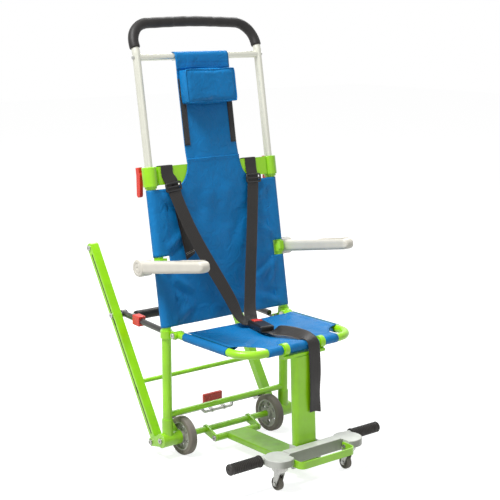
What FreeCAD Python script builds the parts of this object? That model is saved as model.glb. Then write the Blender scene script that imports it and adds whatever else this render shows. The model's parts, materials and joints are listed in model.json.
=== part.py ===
import FreeCAD, Part
import math
import os

# Folding stair chair: a leaning back frame on two wheels, a seat, leg and foot arm that fold as a
# parallelogram, tracks behind the back for gliding down stairs, and a telescoping push handle.
# Millimetres.  +Z up, the sitter faces -Y, +X is the sitter's left.  While the pieces are made,
# y = 0 is the rear wheels' axle and z = 0 the floor; at the end everything is moved along Y so that
# the origin is the middle of the whole chair's footprint.

V = FreeCAD.Vector
X_AXIS = V(1, 0, 0)
SIDES = {"left": 1, "right": -1}          # the sitter's left is +X

# ---- clearances -------------------------------------------------------------------------------
running_gap = 0.06       # radial, a pin or shaft in its bore
side_gap = 0.5           # beside a part that turns
soft_gap = 0.3           # cloth and foam beside what carries them
open_gap = 0.4           # radial, at the pivots where the linkages are opened

# ---- back frame -------------------------------------------------------------------------------
frame_half = 240.0       # centre of each back tube from the middle
back_tube_r = 15.0
back_tube_wall = 2.0
bend_z = 425.0           # where the back starts to lean
recline = 9.5            # degrees
bend_r = 120.0
back_length = 497.0      # leaning part of the back tubes
lower_tube_r = 9.5
cross_wall = 2.0

# ---- rear wheels and hubs ---------------------------------------------------------------------
wheel_r = 62.5
wheel_half = frame_half - 60.0
tyre_width = 26.0
rim_r = 47.0
boss_r = 17.0
boss_width = 28.0
axle_r = 6.0
axle_tube_r = 10.0
hub_r = 23.0
hub_inner = wheel_half + boss_width / 2 + 2.0
hub_outer = frame_half + 28.0
socket_r = 17.5
socket_top_z = wheel_r + 67.5
tube_foot_z = wheel_r + 29.5
lower_tube_z = wheel_r + 81.5
bolt_head_r = 9.0
bolt_head_h = 5.0

# ---- tracks -----------------------------------------------------------------------------------
track_y = 60.0           # lower pivot
track_z = 42.0
track_angle = 32.0       # from upright
track_length = 679.0     # between the pulley centres
rail_width = 30.0
rail_wall = 4.0
rail_web = 2.5
rail_front = 15.0        # from the pulley line to the web's outside
rail_rear = 10.0         # from the pulley line to the flange edges
pulley_r = 9.0
belt_thick = 3.0
belt_width = 19.0
pin_r = 5.0
ear_inner = 8.0
ear_outer = 6.0
track_cross_at = 199.0   # along the rail
track_cross_r = 7.5

# ---- rear carrying handle ---------------------------------------------------------------------
strut_at = 436.0         # along the rail, to the handle's pins
strut_half = frame_half - 32.0
strut_r = 10.0
rear_bar_r = 9.0
stud_y = 10.0
stud_z = 396.0
rear_bar_back = 43.0     # from the pins forward to the cross bar
rear_foam_r = 16.0
collar_back = 72.0
collar_length = 38.0
collar_size = 28.0
collar_height = 33.0

# ---- push handle ------------------------------------------------------------------------------
handle_r = 12.5
handle_wall = 2.0
handle_foot = back_length - 307.0
handle_corner = 70.0
arch_from = back_length + 363.0        # where the legs bend back into the arch
arch_corner_at = arch_from + 87.0
handle_top = arch_corner_at + 9.0      # along the lean, centre of the top bar
arch_back = 24.0
arch_bend = 60.0
crown_bend = 2400.0
grip_r = 16.5
grip_start = 0.115       # share of the way from the bend to the corner
crossbar_at = arch_from - 19.0
crossbar_r = 11.0

# ---- sockets, cross plate and latches at the top of the back ----------------------------------
bracket_from = back_length - 54.0
bracket_to = back_length + 6.0
bracket_r = 23.0
collar_r = 19.0
plate_front = 14.5
plate_depth = 24.0
plate_wall = 4.0
latch_at = bracket_to - 21.0
latch_back = 34.0
latch_width = 13.0
latch_length = 60.0

# ---- seat, leg and foot linkage ---------------------------------------------------------------
seat_hinge_y = -34.0
seat_z = 408.0
seat_depth = 332.0       # hinge to the front rail, and the same on the foot arm
seat_half = frame_half - 22.0
seat_tube_r = 12.5
seat_tube_wall = 2.0
seat_corner = 70.0
arm_hinge_y = -50.0
arm_z = 46.0
leg_width = 86.0
leg_depth = 30.0
leg_wall = 3.0
yoke_ear_half = 71.0
yoke_ear_width = 18.0
yoke_ear_r = 19.0
arm_width = 90.0
arm_thick = 20.0
arm_wall = 3.0
knuckle_r = 11.0
arm_tube_half = 82.0
arm_pin_r = 4.0

# ---- foot bar, step and front grips -----------------------------------------------------------
pad_half = 138.0
pad_y = arm_hinge_y - seat_depth - 43.0
pad_r = 45.0
pad_top = 106.0
pad_bottom = 84.0
bar_half = pad_half - 34.0
bar_front = pad_y - 9.0
bar_rear = pad_y + 25.0
bar_top = 110.0
bar_bottom = 72.0
cheek = 6.0
loop_front = bar_front - 58.0
loop_thick = 4.0
loop_low = 76.0
loop_high = 98.0
loop_corner = 18.0
foot_grip_y = pad_y + 35.0
foot_grip_z = 92.0
foot_grip_from = pad_half + 46.0
foot_grip_to = foot_grip_from + 116.0
foot_grip_r = 17.0
foot_tube_r = 10.0

# ---- castors ----------------------------------------------------------------------------------
castor_y = pad_y - 3.0   # swivel line
castor_trail = 10.0
castor_r = 21.0
castor_width = 16.0
castor_axle_r = 3.5
race_r = 24.0
stem_r = 6.0

# ---- cloth ------------------------------------------------------------------------------------
cloth = 2.4
sling_half = frame_half - 4.0
sling_from = 4.0
sling_to = bracket_from - 11.0
shoulder_half = frame_half - 75.0
neck_half = frame_half - 136.0
neck_top = bracket_to + 9.0
cut_from = 165.0
cut_to = 236.0
pillow_half = 98.0
pillow_from = crossbar_at - 153.0
pillow_to = crossbar_at - 45.0
pillow_thick = 38.0
seat_cloth_rear = -72.0
seat_notch_x = 80.0      # bare length of the front rail at each corner, from the side rail
seat_notch_y = 80.0

# ---- armrests ---------------------------------------------------------------------------------
armrest_at = 198.0       # along the lean
armrest_back = 21.0
armrest_length = 310.0   # pivot to the centre of the front tip
armrest_inner = frame_half + 25.0
armrest_outer = armrest_inner + 42.0
armrest_r = 20.0
armrest_tip_r = 18.0
armrest_cap_r = 28.0
armrest_pin_r = 6.0
clamp_r = 20.0

# ---- brake ------------------------------------------------------------------------------------
brake_y = 58.0
brake_z = wheel_r + 49.5
brake_rod_r = 5.0
brake_half = hub_inner + 10.0
pedal_y = 82.0
pedal_z = brake_z + 16.0
pedal_width = 76.0
pedal_height = 42.0
crank_half = 56.0
pedal_arm_x = 22.0
crank_y = 50.0
crank_z = brake_z - 11.0

# ---- harness ----------------------------------------------------------------------------------
webbing_wide = 45.0
tail_wide = 38.0
webbing_thick = 2.0
adjuster_right_x = -173.0
adjuster_left_x = 147.0
buckle_yaw = 14.0
buckle_x = -8.0
buckle_y = seat_hinge_y - 138.0


# ---- shape helpers ----------------------------------------------------------------------------
def rod(x0, x1, y, z, r):
    """Solid cylinder along X."""
    return Part.makeCylinder(r, x1 - x0, V(x0, y, z), X_AXIS)


def post(x, y, z0, z1, r):
    """Solid cylinder along Z."""
    return Part.makeCylinder(r, z1 - z0, V(x, y, z0))


def slab(x0, x1, y0, y1, z0, z1):
    return Part.makeBox(x1 - x0, y1 - y0, z1 - z0, V(x0, y0, z0))


def prism_x(outline, x0, x1):
    """Outline of (y, z) points, extruded along X."""
    points = [V(x0, y, z) for y, z in outline]
    return Part.Face(Part.makePolygon(points + [points[0]])).extrude(V(x1 - x0, 0, 0))


def prism_z(outline, z0, z1):
    """Outline of (x, y) points, extruded along Z."""
    points = [V(x, y, z0) for x, y in outline]
    return Part.Face(Part.makePolygon(points + [points[0]])).extrude(V(0, 0, z1 - z0))


def link_plate(x0, x1, first, second):
    """Plate between two round ends, each (y, z, r), with straight tangent sides."""
    y1, z1, r1 = first
    y2, z2, r2 = second
    along = math.atan2(z2 - z1, y2 - y1)
    spread = math.acos((r1 - r2) / math.hypot(y2 - y1, z2 - z1))
    corners = [(y + r * math.cos(along + turn), z + r * math.sin(along + turn))
               for y, z, r, turn in ((y1, z1, r1, spread), (y2, z2, r2, spread),
                                     (y2, z2, r2, -spread), (y1, z1, r1, -spread))]
    web = prism_x(corners, x0, x1)
    return web.fuse([rod(x0, x1, y1, z1, r1), rod(x0, x1, y2, z2, r2)]).removeSplitter()


def bent_path(corners, radii):
    """Straight runs through corner points, joined by tangent arcs, one radius for each bend."""
    edges = []
    start = corners[0]
    for before, corner, after, radius in zip(corners, corners[1:], corners[2:], radii):
        way_in = (corner - before).normalize()
        way_out = (after - corner).normalize()
        turn = way_in.getAngle(way_out)
        setback = radius * math.tan(turn / 2)
        arc_in = corner - way_in * setback
        arc_out = corner + way_out * setback
        inward = (way_out - way_in).normalize()
        middle = corner + inward * (radius / math.cos(turn / 2) - radius)
        edges.append(Part.makeLine(start, arc_in))
        edges.append(Part.Arc(arc_in, middle, arc_out).toShape())
        start = arc_out
    edges.append(Part.makeLine(start, corners[-1]))
    return Part.Wire(edges)


def pipe(corners, radii, r):
    """Round bar along a bent path."""
    path = bent_path(corners, radii)
    ring = Part.Wire(Part.makeCircle(r, corners[0], corners[1] - corners[0]))
    return path.makePipeShell([ring], True, False)


def pair(shape):
    """A piece and its mirror image, as two separate solids."""
    return Part.makeCompound([shape, mirrored(shape)])


def mirrored(shape):
    return shape.mirror(V(0, 0, 0), X_AXIS)


def on_side(shape, side):
    """A piece made for the sitter's left, on the side asked for."""
    if side > 0:
        return shape
    return mirrored(shape)


def placed(shape, angle, y, z):
    """Turn an upright piece back by an angle about X and stand it at (y, z)."""
    moved = shape.copy()
    moved.Placement = FreeCAD.Placement(V(0, y, z), FreeCAD.Rotation(X_AXIS, -angle))
    return moved


def leaned(shape):
    """From the back's own frame: Z runs up the lean from the bend, -Y stands out in front."""
    return placed(shape, recline, 0, bend_z)


def on_track(shape):
    """From the track's own frame: Z runs up the rail from its pivot, +Y faces the stairs."""
    return placed(shape, track_angle, track_y, track_z)


def at_angle(angle, along, across):
    """(y, z) of a point in a turned frame."""
    turn = math.radians(angle)
    return (along * math.sin(turn) + across * math.cos(turn),
            along * math.cos(turn) - across * math.sin(turn))


def lean_point(along, behind=0.0):
    """(y, z) of a point up the lean and behind the tubes' plane."""
    y, z = at_angle(recline, along, behind)
    return y, z + bend_z


def track_point(along, rear=0.0):
    y, z = at_angle(track_angle, along, rear)
    return y + track_y, z + track_z


def webbing(points, faces, width, thick=webbing_thick):
    """Flat webbing through its centre points; faces says which way it looks at each."""
    sections = []
    for place, (centre, look) in enumerate(zip(points, faces)):
        before = points[max(place - 1, 0)]
        after = points[min(place + 1, len(points) - 1)]
        along = (after - before).normalize()
        face = (look - along * look.dot(along)).normalize()
        side = along.cross(face) * (width / 2)
        lift = face * (thick / 2)
        corners = [centre + side + lift, centre - side + lift, centre - side - lift, centre + side - lift]
        sections.append(Part.makePolygon(corners + [corners[0]]))
    return Part.makeLoft(sections, True, True)


# ---- back frame -------------------------------------------------------------------------------
def back_tube():
    top_y, top_z = lean_point(back_length)
    corners = [V(frame_half, 0, tube_foot_z), V(frame_half, 0, bend_z), V(frame_half, top_y, top_z)]
    outside = pipe(corners, [bend_r], back_tube_r)
    return outside.cut(pipe(corners, [bend_r], back_tube_r - back_tube_wall))


def strut_stud():
    """Stud on the inner side of a back tube, which the rear handle's cradle holds."""
    stud = rod(strut_half - 6, frame_half - back_tube_r + 6, stud_y, stud_z, pin_r)
    return stud.cut(post(frame_half, 0, stud_z - 20, stud_z + 20, back_tube_r - back_tube_wall / 2))


def back_tubes():
    return pair(back_tube().fuse(strut_stud()).removeSplitter())


def lower_cross_tube():
    reach = frame_half
    tube = rod(-reach, reach, 0, lower_tube_z, lower_tube_r)
    tube = tube.cut(rod(-reach, reach, 0, lower_tube_z, lower_tube_r - cross_wall))
    for x in (-frame_half, frame_half):
        tube = tube.cut(post(x, 0, lower_tube_z - 40, lower_tube_z + 40, back_tube_r))
    return tube


def axle_tube():
    """Tube between the wheels, with the two ears that carry the foot arm."""
    half = wheel_half - boss_width / 2 - 1
    tube = rod(-half, half, 0, wheel_r, axle_tube_r)
    inner = arm_tube_half + 2
    ear = link_plate(inner, inner + 7, (0, wheel_r, 15), (arm_hinge_y, arm_z, knuckle_r))
    ear = ear.cut(rod(inner - 1, inner + 8, arm_hinge_y, arm_z, arm_pin_r + running_gap))
    tube = tube.fuse([ear, mirrored(ear)])
    return tube.cut(rod(-half, half, 0, wheel_r, axle_r + running_gap)).removeSplitter()


def hub_casting():
    """Casting at the foot of a back tube: axle boss, tube socket, track ears and brake ear."""
    body = rod(hub_inner, hub_outer, 0, wheel_r, hub_r)
    body = body.makeFillet(1.5, [edge for edge in body.Edges if isinstance(edge.Curve, Part.Circle)])
    body = body.fuse(post(frame_half, 0, wheel_r, socket_top_z, socket_r))
    rail_in = frame_half - rail_width / 2
    rail_out = frame_half + rail_width / 2
    for low, thick in ((rail_in - 3 - ear_inner, ear_inner), (rail_out + 3, ear_outer)):
        body = body.fuse(link_plate(low, low + thick, (0, wheel_r, 20), (track_y, track_z, 13)))
    brake_ear = link_plate(hub_inner + 2, brake_half, (0, wheel_r, 16), (brake_y, brake_z, 10))
    body = body.fuse(brake_ear).removeSplitter()
    body = body.cut(rod(hub_inner - 1, hub_outer + 10, 0, wheel_r, axle_r + running_gap))
    body = body.cut(rod(hub_inner - 1, hub_outer + 10, track_y, track_z, pin_r + running_gap))
    body = body.cut(rod(hub_inner - 1, brake_half + 5, brake_y, brake_z, brake_rod_r + running_gap))
    return body.cut(post(frame_half, 0, tube_foot_z, socket_top_z + 1, back_tube_r + 0.05))


def headed_bolt(x0, x1, y, z, r):
    """Bolt along X with its head on the outer end."""
    head = rod(x1, x1 + bolt_head_h, y, z, bolt_head_r)
    head = head.makeChamfer(1.2, [edge for edge in head.Edges if edge.BoundBox.XMin > x1 + 1
                                  and isinstance(edge.Curve, Part.Circle)])
    socket = rod(x1 + bolt_head_h - 2.5, x1 + bolt_head_h + 1, y, z, r * 0.55)
    return rod(x0, x1, y, z, r).fuse(head).removeSplitter().cut(socket)


def hub_bolts():
    """Two wheel axles and two track pivots, each with its head outside the casting."""
    axle = headed_bolt(wheel_half - boss_width / 2 - 31, hub_outer, 0, wheel_r, axle_r)
    outside = frame_half + rail_width / 2 + 3 + ear_outer
    pivot = headed_bolt(frame_half - rail_width / 2 - 13, outside, track_y, track_z, pin_r)
    return Part.makeCompound([axle, pivot, mirrored(axle), mirrored(pivot)])


def handle_socket():
    """Cast housing at the top of a back tube, which the push handle slides through."""
    body = post(frame_half, 0, bracket_from, bracket_to, bracket_r)
    body = body.makeFillet(2.0, [edge for edge in body.Edges if edge.BoundBox.ZMin > bracket_to - 0.1])
    body = body.fuse(post(frame_half, 0, bracket_from - 7, bracket_from, collar_r))
    lug = slab(frame_half - 7, frame_half + 7, 10, latch_back, latch_at - 9, latch_at + 9)
    lug = lug.fuse(rod(frame_half - 7, frame_half + 7, latch_back, latch_at, 9))
    foot = slab(frame_half - bracket_r - 4, frame_half - 12, -plate_front + plate_wall + 0.2, 6,
                bracket_from + plate_wall + 2.5, bracket_to - plate_wall - 1.5)
    body = body.fuse([lug, foot]).removeSplitter()
    body = body.cut(post(frame_half, 0, bracket_from - 10, back_length, back_tube_r + 0.05))
    body = body.cut(post(frame_half, 0, back_length - 1, bracket_to + 1, handle_r + 0.3))
    return body.cut(rod(frame_half - 8, frame_half + 8, latch_back, latch_at, pin_r - 1 + running_gap))


def cross_plate():
    """Channel across the top of the back, open behind."""
    half = frame_half - bracket_r - 1
    low = bracket_from + 2
    high = bracket_to - 1
    channel = slab(-half, half, -plate_front, plate_depth - plate_front, low, high)
    hollow = slab(-half - 1, half + 1, plate_wall - plate_front, plate_depth, low + plate_wall, high - plate_wall)
    return channel.cut(hollow)


def seat_lug():
    """Clamp round a back tube with the ear that carries the seat's hinge bolt."""
    height = 12.0
    inner = seat_half + seat_tube_r + side_gap
    body = post(frame_half, 0, seat_z - height, seat_z + height, 19.0)
    ear = link_plate(inner, inner + 8, (seat_hinge_y, seat_z, height), (-6, seat_z, height - 0.1))
    body = body.fuse(ear).removeSplitter()
    body = body.cut(post(frame_half, 0, seat_z - 20, seat_z + 20, back_tube_r + 0.05))
    body = body.cut(rod(strut_half, frame_half, stud_y, stud_z, pin_r + 0.05))
    return body.cut(rod(inner - 1, inner + 9, seat_hinge_y, seat_z, pin_r + running_gap))


def seat_hinge_bolt():
    inner = seat_half - seat_tube_r - side_gap
    outer = seat_half + seat_tube_r + side_gap + 8
    bolt = headed_bolt(inner - 1, outer, seat_hinge_y, seat_z, pin_r)
    return bolt.fuse(rod(inner - 6, inner, seat_hinge_y, seat_z, 8.5)).removeSplitter()


def armrest_boss():
    """Clamp round a back tube with the boss and pin that the armrest turns on."""
    ring = post(frame_half, 0, armrest_at - 13, armrest_at + 13, clamp_r)
    boss = rod(frame_half, armrest_inner - side_gap, armrest_back, armrest_at, 13)
    tab = slab(frame_half - 12, frame_half + 4, -clamp_r - 9, -back_tube_r, armrest_at - 5, armrest_at + 21)
    pin = rod(armrest_inner - 2, armrest_outer - 5, armrest_back, armrest_at, armrest_pin_r)
    body = ring.fuse([boss, tab, pin]).removeSplitter()
    return body.cut(post(frame_half, 0, armrest_at - 30, armrest_at + 30, back_tube_r + 0.05))


def back_sling():
    """Cloth across the back tubes, sleeved round them, with a neck that rises over the cross plate."""
    rear = -back_tube_r - soft_gap
    panel = slab(-sling_half, sling_half, rear - cloth, rear, sling_from, sling_to)
    panel = panel.fuse(slab(-shoulder_half, shoulder_half, rear - cloth, rear, sling_to - 1, neck_top))
    arc_r = shoulder_half - neck_half
    for side in SIDES.values():
        x = side * shoulder_half
        drop = neck_top - sling_to
        scoop = Part.makeCylinder(1, 4 * cloth, V(x, rear + cloth, 0), V(0, -1, 0))
        stretch = FreeCAD.Matrix()
        stretch.A11 = arc_r
        stretch.A33 = drop - 4
        scoop = scoop.translated(V(-x, 0, 0)).transformGeometry(stretch).translated(V(x, 0, neck_top))
        panel = panel.cut(scoop)
    sleeve = post(frame_half, 0, sling_from, sling_to, back_tube_r + soft_gap + cloth)
    sleeve = sleeve.cut(post(frame_half, 0, sling_from - 1, sling_to + 1, back_tube_r + soft_gap))
    body = panel.fuse([sleeve, mirrored(sleeve)])
    for side in SIDES.values():
        gap = slab(frame_half - 30, frame_half + 35, -30, 30, cut_from, cut_to)
        body = body.cut(on_side(gap, side))
    return body.removeSplitter()


def foot_arm_pins():
    """Shouldered pins through the axle tube's ears into the foot arm's hinge tube."""
    pin = headed_bolt(arm_tube_half - 22, arm_tube_half + 9, arm_hinge_y, arm_z, arm_pin_r)
    return pair(pin)


# ---- push handle and headrest -----------------------------------------------------------------
def arch_corners(reach):
    """Corners of the top arch, which bends back from the legs and rises to the middle."""
    kink = V(frame_half, 0, arch_from)
    corner = V(frame_half, arch_back, arch_corner_at)
    start = kink + (corner - kink) * reach
    crown = V(0, arch_back, handle_top)
    opposite = V(-frame_half, arch_back, arch_corner_at)
    return [start, corner, crown, opposite, V(-start.x, start.y, start.z)]


def handle_path():
    """Corners and bend radii of the whole handle tube."""
    foot = [V(frame_half, 0, handle_foot)]
    end = [V(-frame_half, 0, handle_foot)]
    return foot + arch_corners(0) + end, [arch_bend, handle_corner, crown_bend, handle_corner, arch_bend]


def handle_tube():
    corners, radii = handle_path()
    return pipe(corners, radii, handle_r).cut(pipe(corners, radii, handle_r - handle_wall))


def handle_grip():
    radii = [handle_corner, crown_bend, handle_corner]
    foam = pipe(arch_corners(grip_start), radii, grip_r)
    return foam.cut(pipe(arch_corners(grip_start - 0.02), radii, handle_r + 0.05))


def handle_crossbar():
    bar = rod(-frame_half, frame_half, 0, crossbar_at, crossbar_r)
    bar = bar.cut(rod(-frame_half, frame_half, 0, crossbar_at, crossbar_r - handle_wall))
    for x in (-frame_half, frame_half):
        bar = bar.cut(post(x, 0, crossbar_at - 40, crossbar_at + 40, handle_r + 0.05))
    return bar


def crossbar_screws():
    """Screws through the legs into the crossbar's ends, heads outside."""
    head = rod(frame_half + handle_r - 0.6, frame_half + handle_r + 3.4, 0, crossbar_at, 6)
    head = head.makeFillet(1.6, [edge for edge in head.Edges
                                 if edge.BoundBox.XMin > frame_half + handle_r + 3])
    head = head.cut(post(frame_half, 0, crossbar_at - 20, crossbar_at + 20, handle_r + 0.02))
    return pair(head)


def head_panel():
    """Cloth from the neck up to the crossbar and over it."""
    near = -crossbar_r - soft_gap
    panel = slab(-neck_half, neck_half, near - cloth, near, neck_top + 2, crossbar_at)
    loop = rod(-neck_half, neck_half, 0, crossbar_at, crossbar_r + soft_gap + cloth)
    body = panel.fuse(loop).removeSplitter()
    return body.cut(rod(-neck_half - 1, neck_half + 1, 0, crossbar_at, crossbar_r + soft_gap))


def head_pillow():
    rear = -crossbar_r - 2 * soft_gap - cloth
    block = slab(-pillow_half, pillow_half, rear - pillow_thick, rear, pillow_from, pillow_to)
    return block.makeFillet(9, block.Edges)


def latch_lever():
    """Squeeze lever behind a socket; its own stub turns in the socket's lug."""
    half = frame_half + 7
    stub = rod(frame_half - 6, half + 2, latch_back, latch_at, pin_r - 1)
    plate = link_plate(half + side_gap, half + side_gap + latch_width, (latch_back, latch_at, 10),
                       (latch_back + 10, latch_at - latch_length, 9))
    plate = plate.fuse(slab(half + side_gap, half + side_gap + latch_width, latch_back - 8, latch_back + 10,
                            latch_at, latch_at + 24))
    plate = plate.makeFillet(1.5, [edge for edge in plate.Edges if edge.BoundBox.XLength < 0.01])
    return stub.fuse(plate).removeSplitter()


# ---- seat -------------------------------------------------------------------------------------
def seat_front():
    return seat_hinge_y - seat_depth


def seat_frame():
    """Bent tube with an eye at each end for the hinge bolt."""
    corners = [V(-seat_half, seat_hinge_y, seat_z), V(-seat_half, seat_front(), seat_z),
               V(seat_half, seat_front(), seat_z), V(seat_half, seat_hinge_y, seat_z)]
    clear_of_eye = V(0, -seat_tube_r - 6, 0)
    bore_corners = [corners[0] + clear_of_eye, corners[1], corners[2], corners[3] + clear_of_eye]
    radii = [seat_corner, seat_corner]
    tube = pipe(corners, radii, seat_tube_r)
    tube = tube.cut(pipe(bore_corners, radii, seat_tube_r - seat_tube_wall))
    for side in (-1, 1):
        x = side * seat_half
        eye = seat_tube_r - 0.6
        tube = tube.fuse(rod(x - eye, x + eye, seat_hinge_y, seat_z, seat_tube_r - 0.3))
        bore = rod(x - seat_tube_r - 1, x + seat_tube_r + 1, seat_hinge_y, seat_z, pin_r + running_gap)
        tube = tube.cut(bore)
    return tube.removeSplitter()


def seat_sling():
    """Cloth over the seat's rails, sleeved on the sides and the front, open at the corners."""
    inner = seat_tube_r + soft_gap
    outer = inner + cloth
    front = seat_front()
    straight = front + seat_notch_y
    low = seat_z + inner
    corner = seat_half - seat_notch_x
    left_edge = [(corner, front), (corner + 7, front + 44), (corner + 30, straight - 8),
                 (seat_half, straight), (seat_half, seat_cloth_rear)]
    outline = left_edge + [(-x, y) for x, y in reversed(left_edge)]
    panel = prism_z(outline, low, low + cloth)
    pieces = []
    hollow = []
    for side in (-1, 1):
        x = side * seat_half
        sleeve = Part.makeCylinder(outer, seat_cloth_rear - straight, V(x, straight, seat_z), V(0, 1, 0))
        pieces.append(sleeve)
        hollow.append(Part.makeCylinder(inner, seat_depth, V(x, front + 1, seat_z), V(0, 1, 0)))
        ear = (yoke_ear_half - yoke_ear_width / 2 - 3, yoke_ear_half + yoke_ear_width / 2 + 3)
        pieces.append(on_side(rod(ear[1], corner, front, seat_z, outer), side))
    pieces.append(rod(-ear[0], ear[0], front, seat_z, outer))
    hollow.append(rod(-seat_half, seat_half, front, seat_z, inner))
    body = panel.fuse(pieces)
    for side in (-1, 1):
        ear_gap = slab(ear[0], ear[1], front - 30, front + yoke_ear_r + 5, seat_z - 40, seat_z + 40)
        body = body.cut(on_side(ear_gap, side))
    return body.cut(Part.makeCompound(hollow)).removeSplitter()


# ---- leg, foot bar and foot arm ---------------------------------------------------------------
def leg_lean():
    """The leg leans like the line from the foot arm's hinge to the seat's hinge."""
    return math.degrees(math.atan2(seat_hinge_y - arm_hinge_y, seat_z - arm_z))


def leg_span():
    return math.hypot(seat_hinge_y - arm_hinge_y, seat_z - arm_z)


def foot_pivot_y():
    return arm_hinge_y - seat_depth


def oval(width, depth, z0, z1):
    """Upright bar with round sides, in its own frame."""
    half = (width - depth) / 2
    core = slab(-half, half, -depth / 2, depth / 2, z0, z1)
    return core.fuse([post(-half, 0, z0, z1, depth / 2), post(half, 0, z0, z1, depth / 2)]).removeSplitter()


def leg_tube():
    low = knuckle_r + 4
    high = leg_span() - yoke_ear_r - 10
    body = oval(leg_width, leg_depth, low, high)
    body = body.cut(oval(leg_width - 2 * leg_wall, leg_depth - 2 * leg_wall, low - 1, high + 1))
    return placed(body, leg_lean(), foot_pivot_y(), arm_z)


def leg_yoke():
    """Head of the leg: two ears round the seat's front rail on a cross block."""
    high = leg_span()
    reach = yoke_ear_half + yoke_ear_width / 2
    block = slab(-reach, reach, -leg_depth / 2, leg_depth / 2, high - yoke_ear_r - 10, high - seat_tube_r - 6)
    block = block.makeFillet(4, [edge for edge in block.Edges if edge.BoundBox.XLength > 10])
    body = block
    for side in (-1, 1):
        x = side * yoke_ear_half
        body = body.fuse(rod(x - yoke_ear_width / 2, x + yoke_ear_width / 2, 0, high, yoke_ear_r))
    body = body.fuse(oval(leg_width - 2 * leg_wall - 0.6, leg_depth - 2 * leg_wall - 0.6,
                          high - yoke_ear_r - 45, high - yoke_ear_r - 9))
    body = body.cut(rod(-reach - 1, reach + 1, 0, high, seat_tube_r + running_gap))
    middle = slab(-yoke_ear_half + yoke_ear_width / 2, yoke_ear_half - yoke_ear_width / 2, -30, 30,
                  high - seat_tube_r - 6, high + 30)
    return placed(body.cut(middle).removeSplitter(), leg_lean(), foot_pivot_y(), arm_z)


def foot_bar():
    """Cast T bar: round pads over the castors, a tall middle and two cheeks that hold the leg."""
    body = slab(-bar_half, bar_half, bar_front, bar_rear, bar_bottom, bar_top)
    body = body.makeFillet(3, [edge for edge in body.Edges if edge.BoundBox.XLength > 10])
    inner = leg_width / 2 + 0.3
    for side in SIDES.values():
        pad = post(pad_half, pad_y, pad_bottom, pad_top, pad_r)
        pad = pad.makeFillet(3, [edge for edge in pad.Edges if edge.BoundBox.ZMin > pad_top - 0.1
                                 and isinstance(edge.Curve, Part.Circle)])
        pad = pad.cut(slab(0, loop_arm_x() + loop_thick / 2, loop_front, bar_front, 0, 200))
        socket = rod(pad_half - 10, foot_grip_from - 3, foot_grip_y, foot_grip_z, foot_tube_r + 4)
        boss = post(pad_half, castor_y, pad_bottom - 5, pad_bottom, race_r - 4)
        pivot = foot_pivot_y()
        cheek_plate = slab(inner, inner + cheek, bar_rear - 1, pivot + 14, arm_z, bar_top - 4)
        cheek_plate = cheek_plate.fuse(rod(inner, inner + cheek, pivot, arm_z, 14))
        body = body.fuse([on_side(piece, side) for piece in (pad, socket, boss, cheek_plate)])
    body = body.cut(rod(-100, 100, foot_pivot_y(), arm_z, pin_r + 0.02))
    for side in SIDES.values():
        stem = post(pad_half, castor_y, 0, pad_top - 6, stem_r + running_gap)
        tube = rod(pad_half + 6, foot_grip_to, foot_grip_y, foot_grip_z, foot_tube_r + 0.02)
        screw = rod(loop_arm_x() - 10, loop_arm_x() + 14, bar_front - 12, loop_mid(), 3.02)
        body = body.cut([on_side(piece, side) for piece in (stem, tube, screw)])
    return body.removeSplitter()


def loop_arm_x():
    """Centre of each arm of the step loop, just outside the bar's middle part."""
    return bar_half + loop_thick


def loop_mid():
    return (loop_low + loop_high) / 2


def step_loop():
    """Flat bar bent round in front of the foot bar."""
    x = loop_arm_x()
    corners = [V(-x, bar_front - 2, 0), V(-x, loop_front, 0), V(x, loop_front, 0), V(x, bar_front - 2, 0)]
    path = bent_path(corners, [loop_corner, loop_corner])
    section = Part.makePolygon([V(-x - loop_thick / 2, bar_front - 2, loop_low),
                                V(-x + loop_thick / 2, bar_front - 2, loop_low),
                                V(-x + loop_thick / 2, bar_front - 2, loop_high),
                                V(-x - loop_thick / 2, bar_front - 2, loop_high),
                                V(-x - loop_thick / 2, bar_front - 2, loop_low)])
    strip = path.makePipeShell([section], True, False)
    holes = rod(-x - 10, x + 10, bar_front - 12, loop_mid(), 3.02)
    return strip.cut(holes)


def step_bolts():
    """Screws through the loop's arms into the pads, heads inside the loop."""
    x = loop_arm_x()
    shank = rod(x - loop_thick / 2, x + 12, bar_front - 12, loop_mid(), 3.0)
    head = rod(x - loop_thick / 2 - 3.5, x - loop_thick / 2, bar_front - 12, loop_mid(), 6.0)
    return pair(shank.fuse(head).removeSplitter())


def foot_grip_tubes():
    tube = rod(pad_half + 6, foot_grip_to - 6, foot_grip_y, foot_grip_z, foot_tube_r)
    return pair(tube.cut(rod(pad_half, foot_grip_to, foot_grip_y, foot_grip_z, foot_tube_r - 2)))


def foot_grips():
    """Ribbed hand grips, closed at their outer ends."""
    sleeve = rod(foot_grip_from, foot_grip_to, foot_grip_y, foot_grip_z, foot_grip_r - 2)
    rings = []
    count = int((foot_grip_to - foot_grip_from - 8) / 8)
    for place in range(count):
        x = foot_grip_from + 6 + place * 8
        rings.append(rod(x, x + 5, foot_grip_y, foot_grip_z, foot_grip_r))
    rings.append(rod(foot_grip_from, foot_grip_from + 3, foot_grip_y, foot_grip_z, foot_grip_r + 1))
    grip = sleeve.fuse(rings).removeSplitter()
    return pair(grip.cut(rod(foot_grip_from - 1, foot_grip_to - 5.5, foot_grip_y, foot_grip_z, foot_tube_r + 0.02)))


def foot_pivot_pin():
    reach = leg_width / 2 + 0.3 + cheek
    pin = rod(-reach, reach, foot_pivot_y(), arm_z, pin_r)
    heads = [rod(reach, reach + 4, foot_pivot_y(), arm_z, 8), rod(-reach - 4, -reach, foot_pivot_y(), arm_z, 8)]
    return pin.fuse(heads).removeSplitter()


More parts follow.
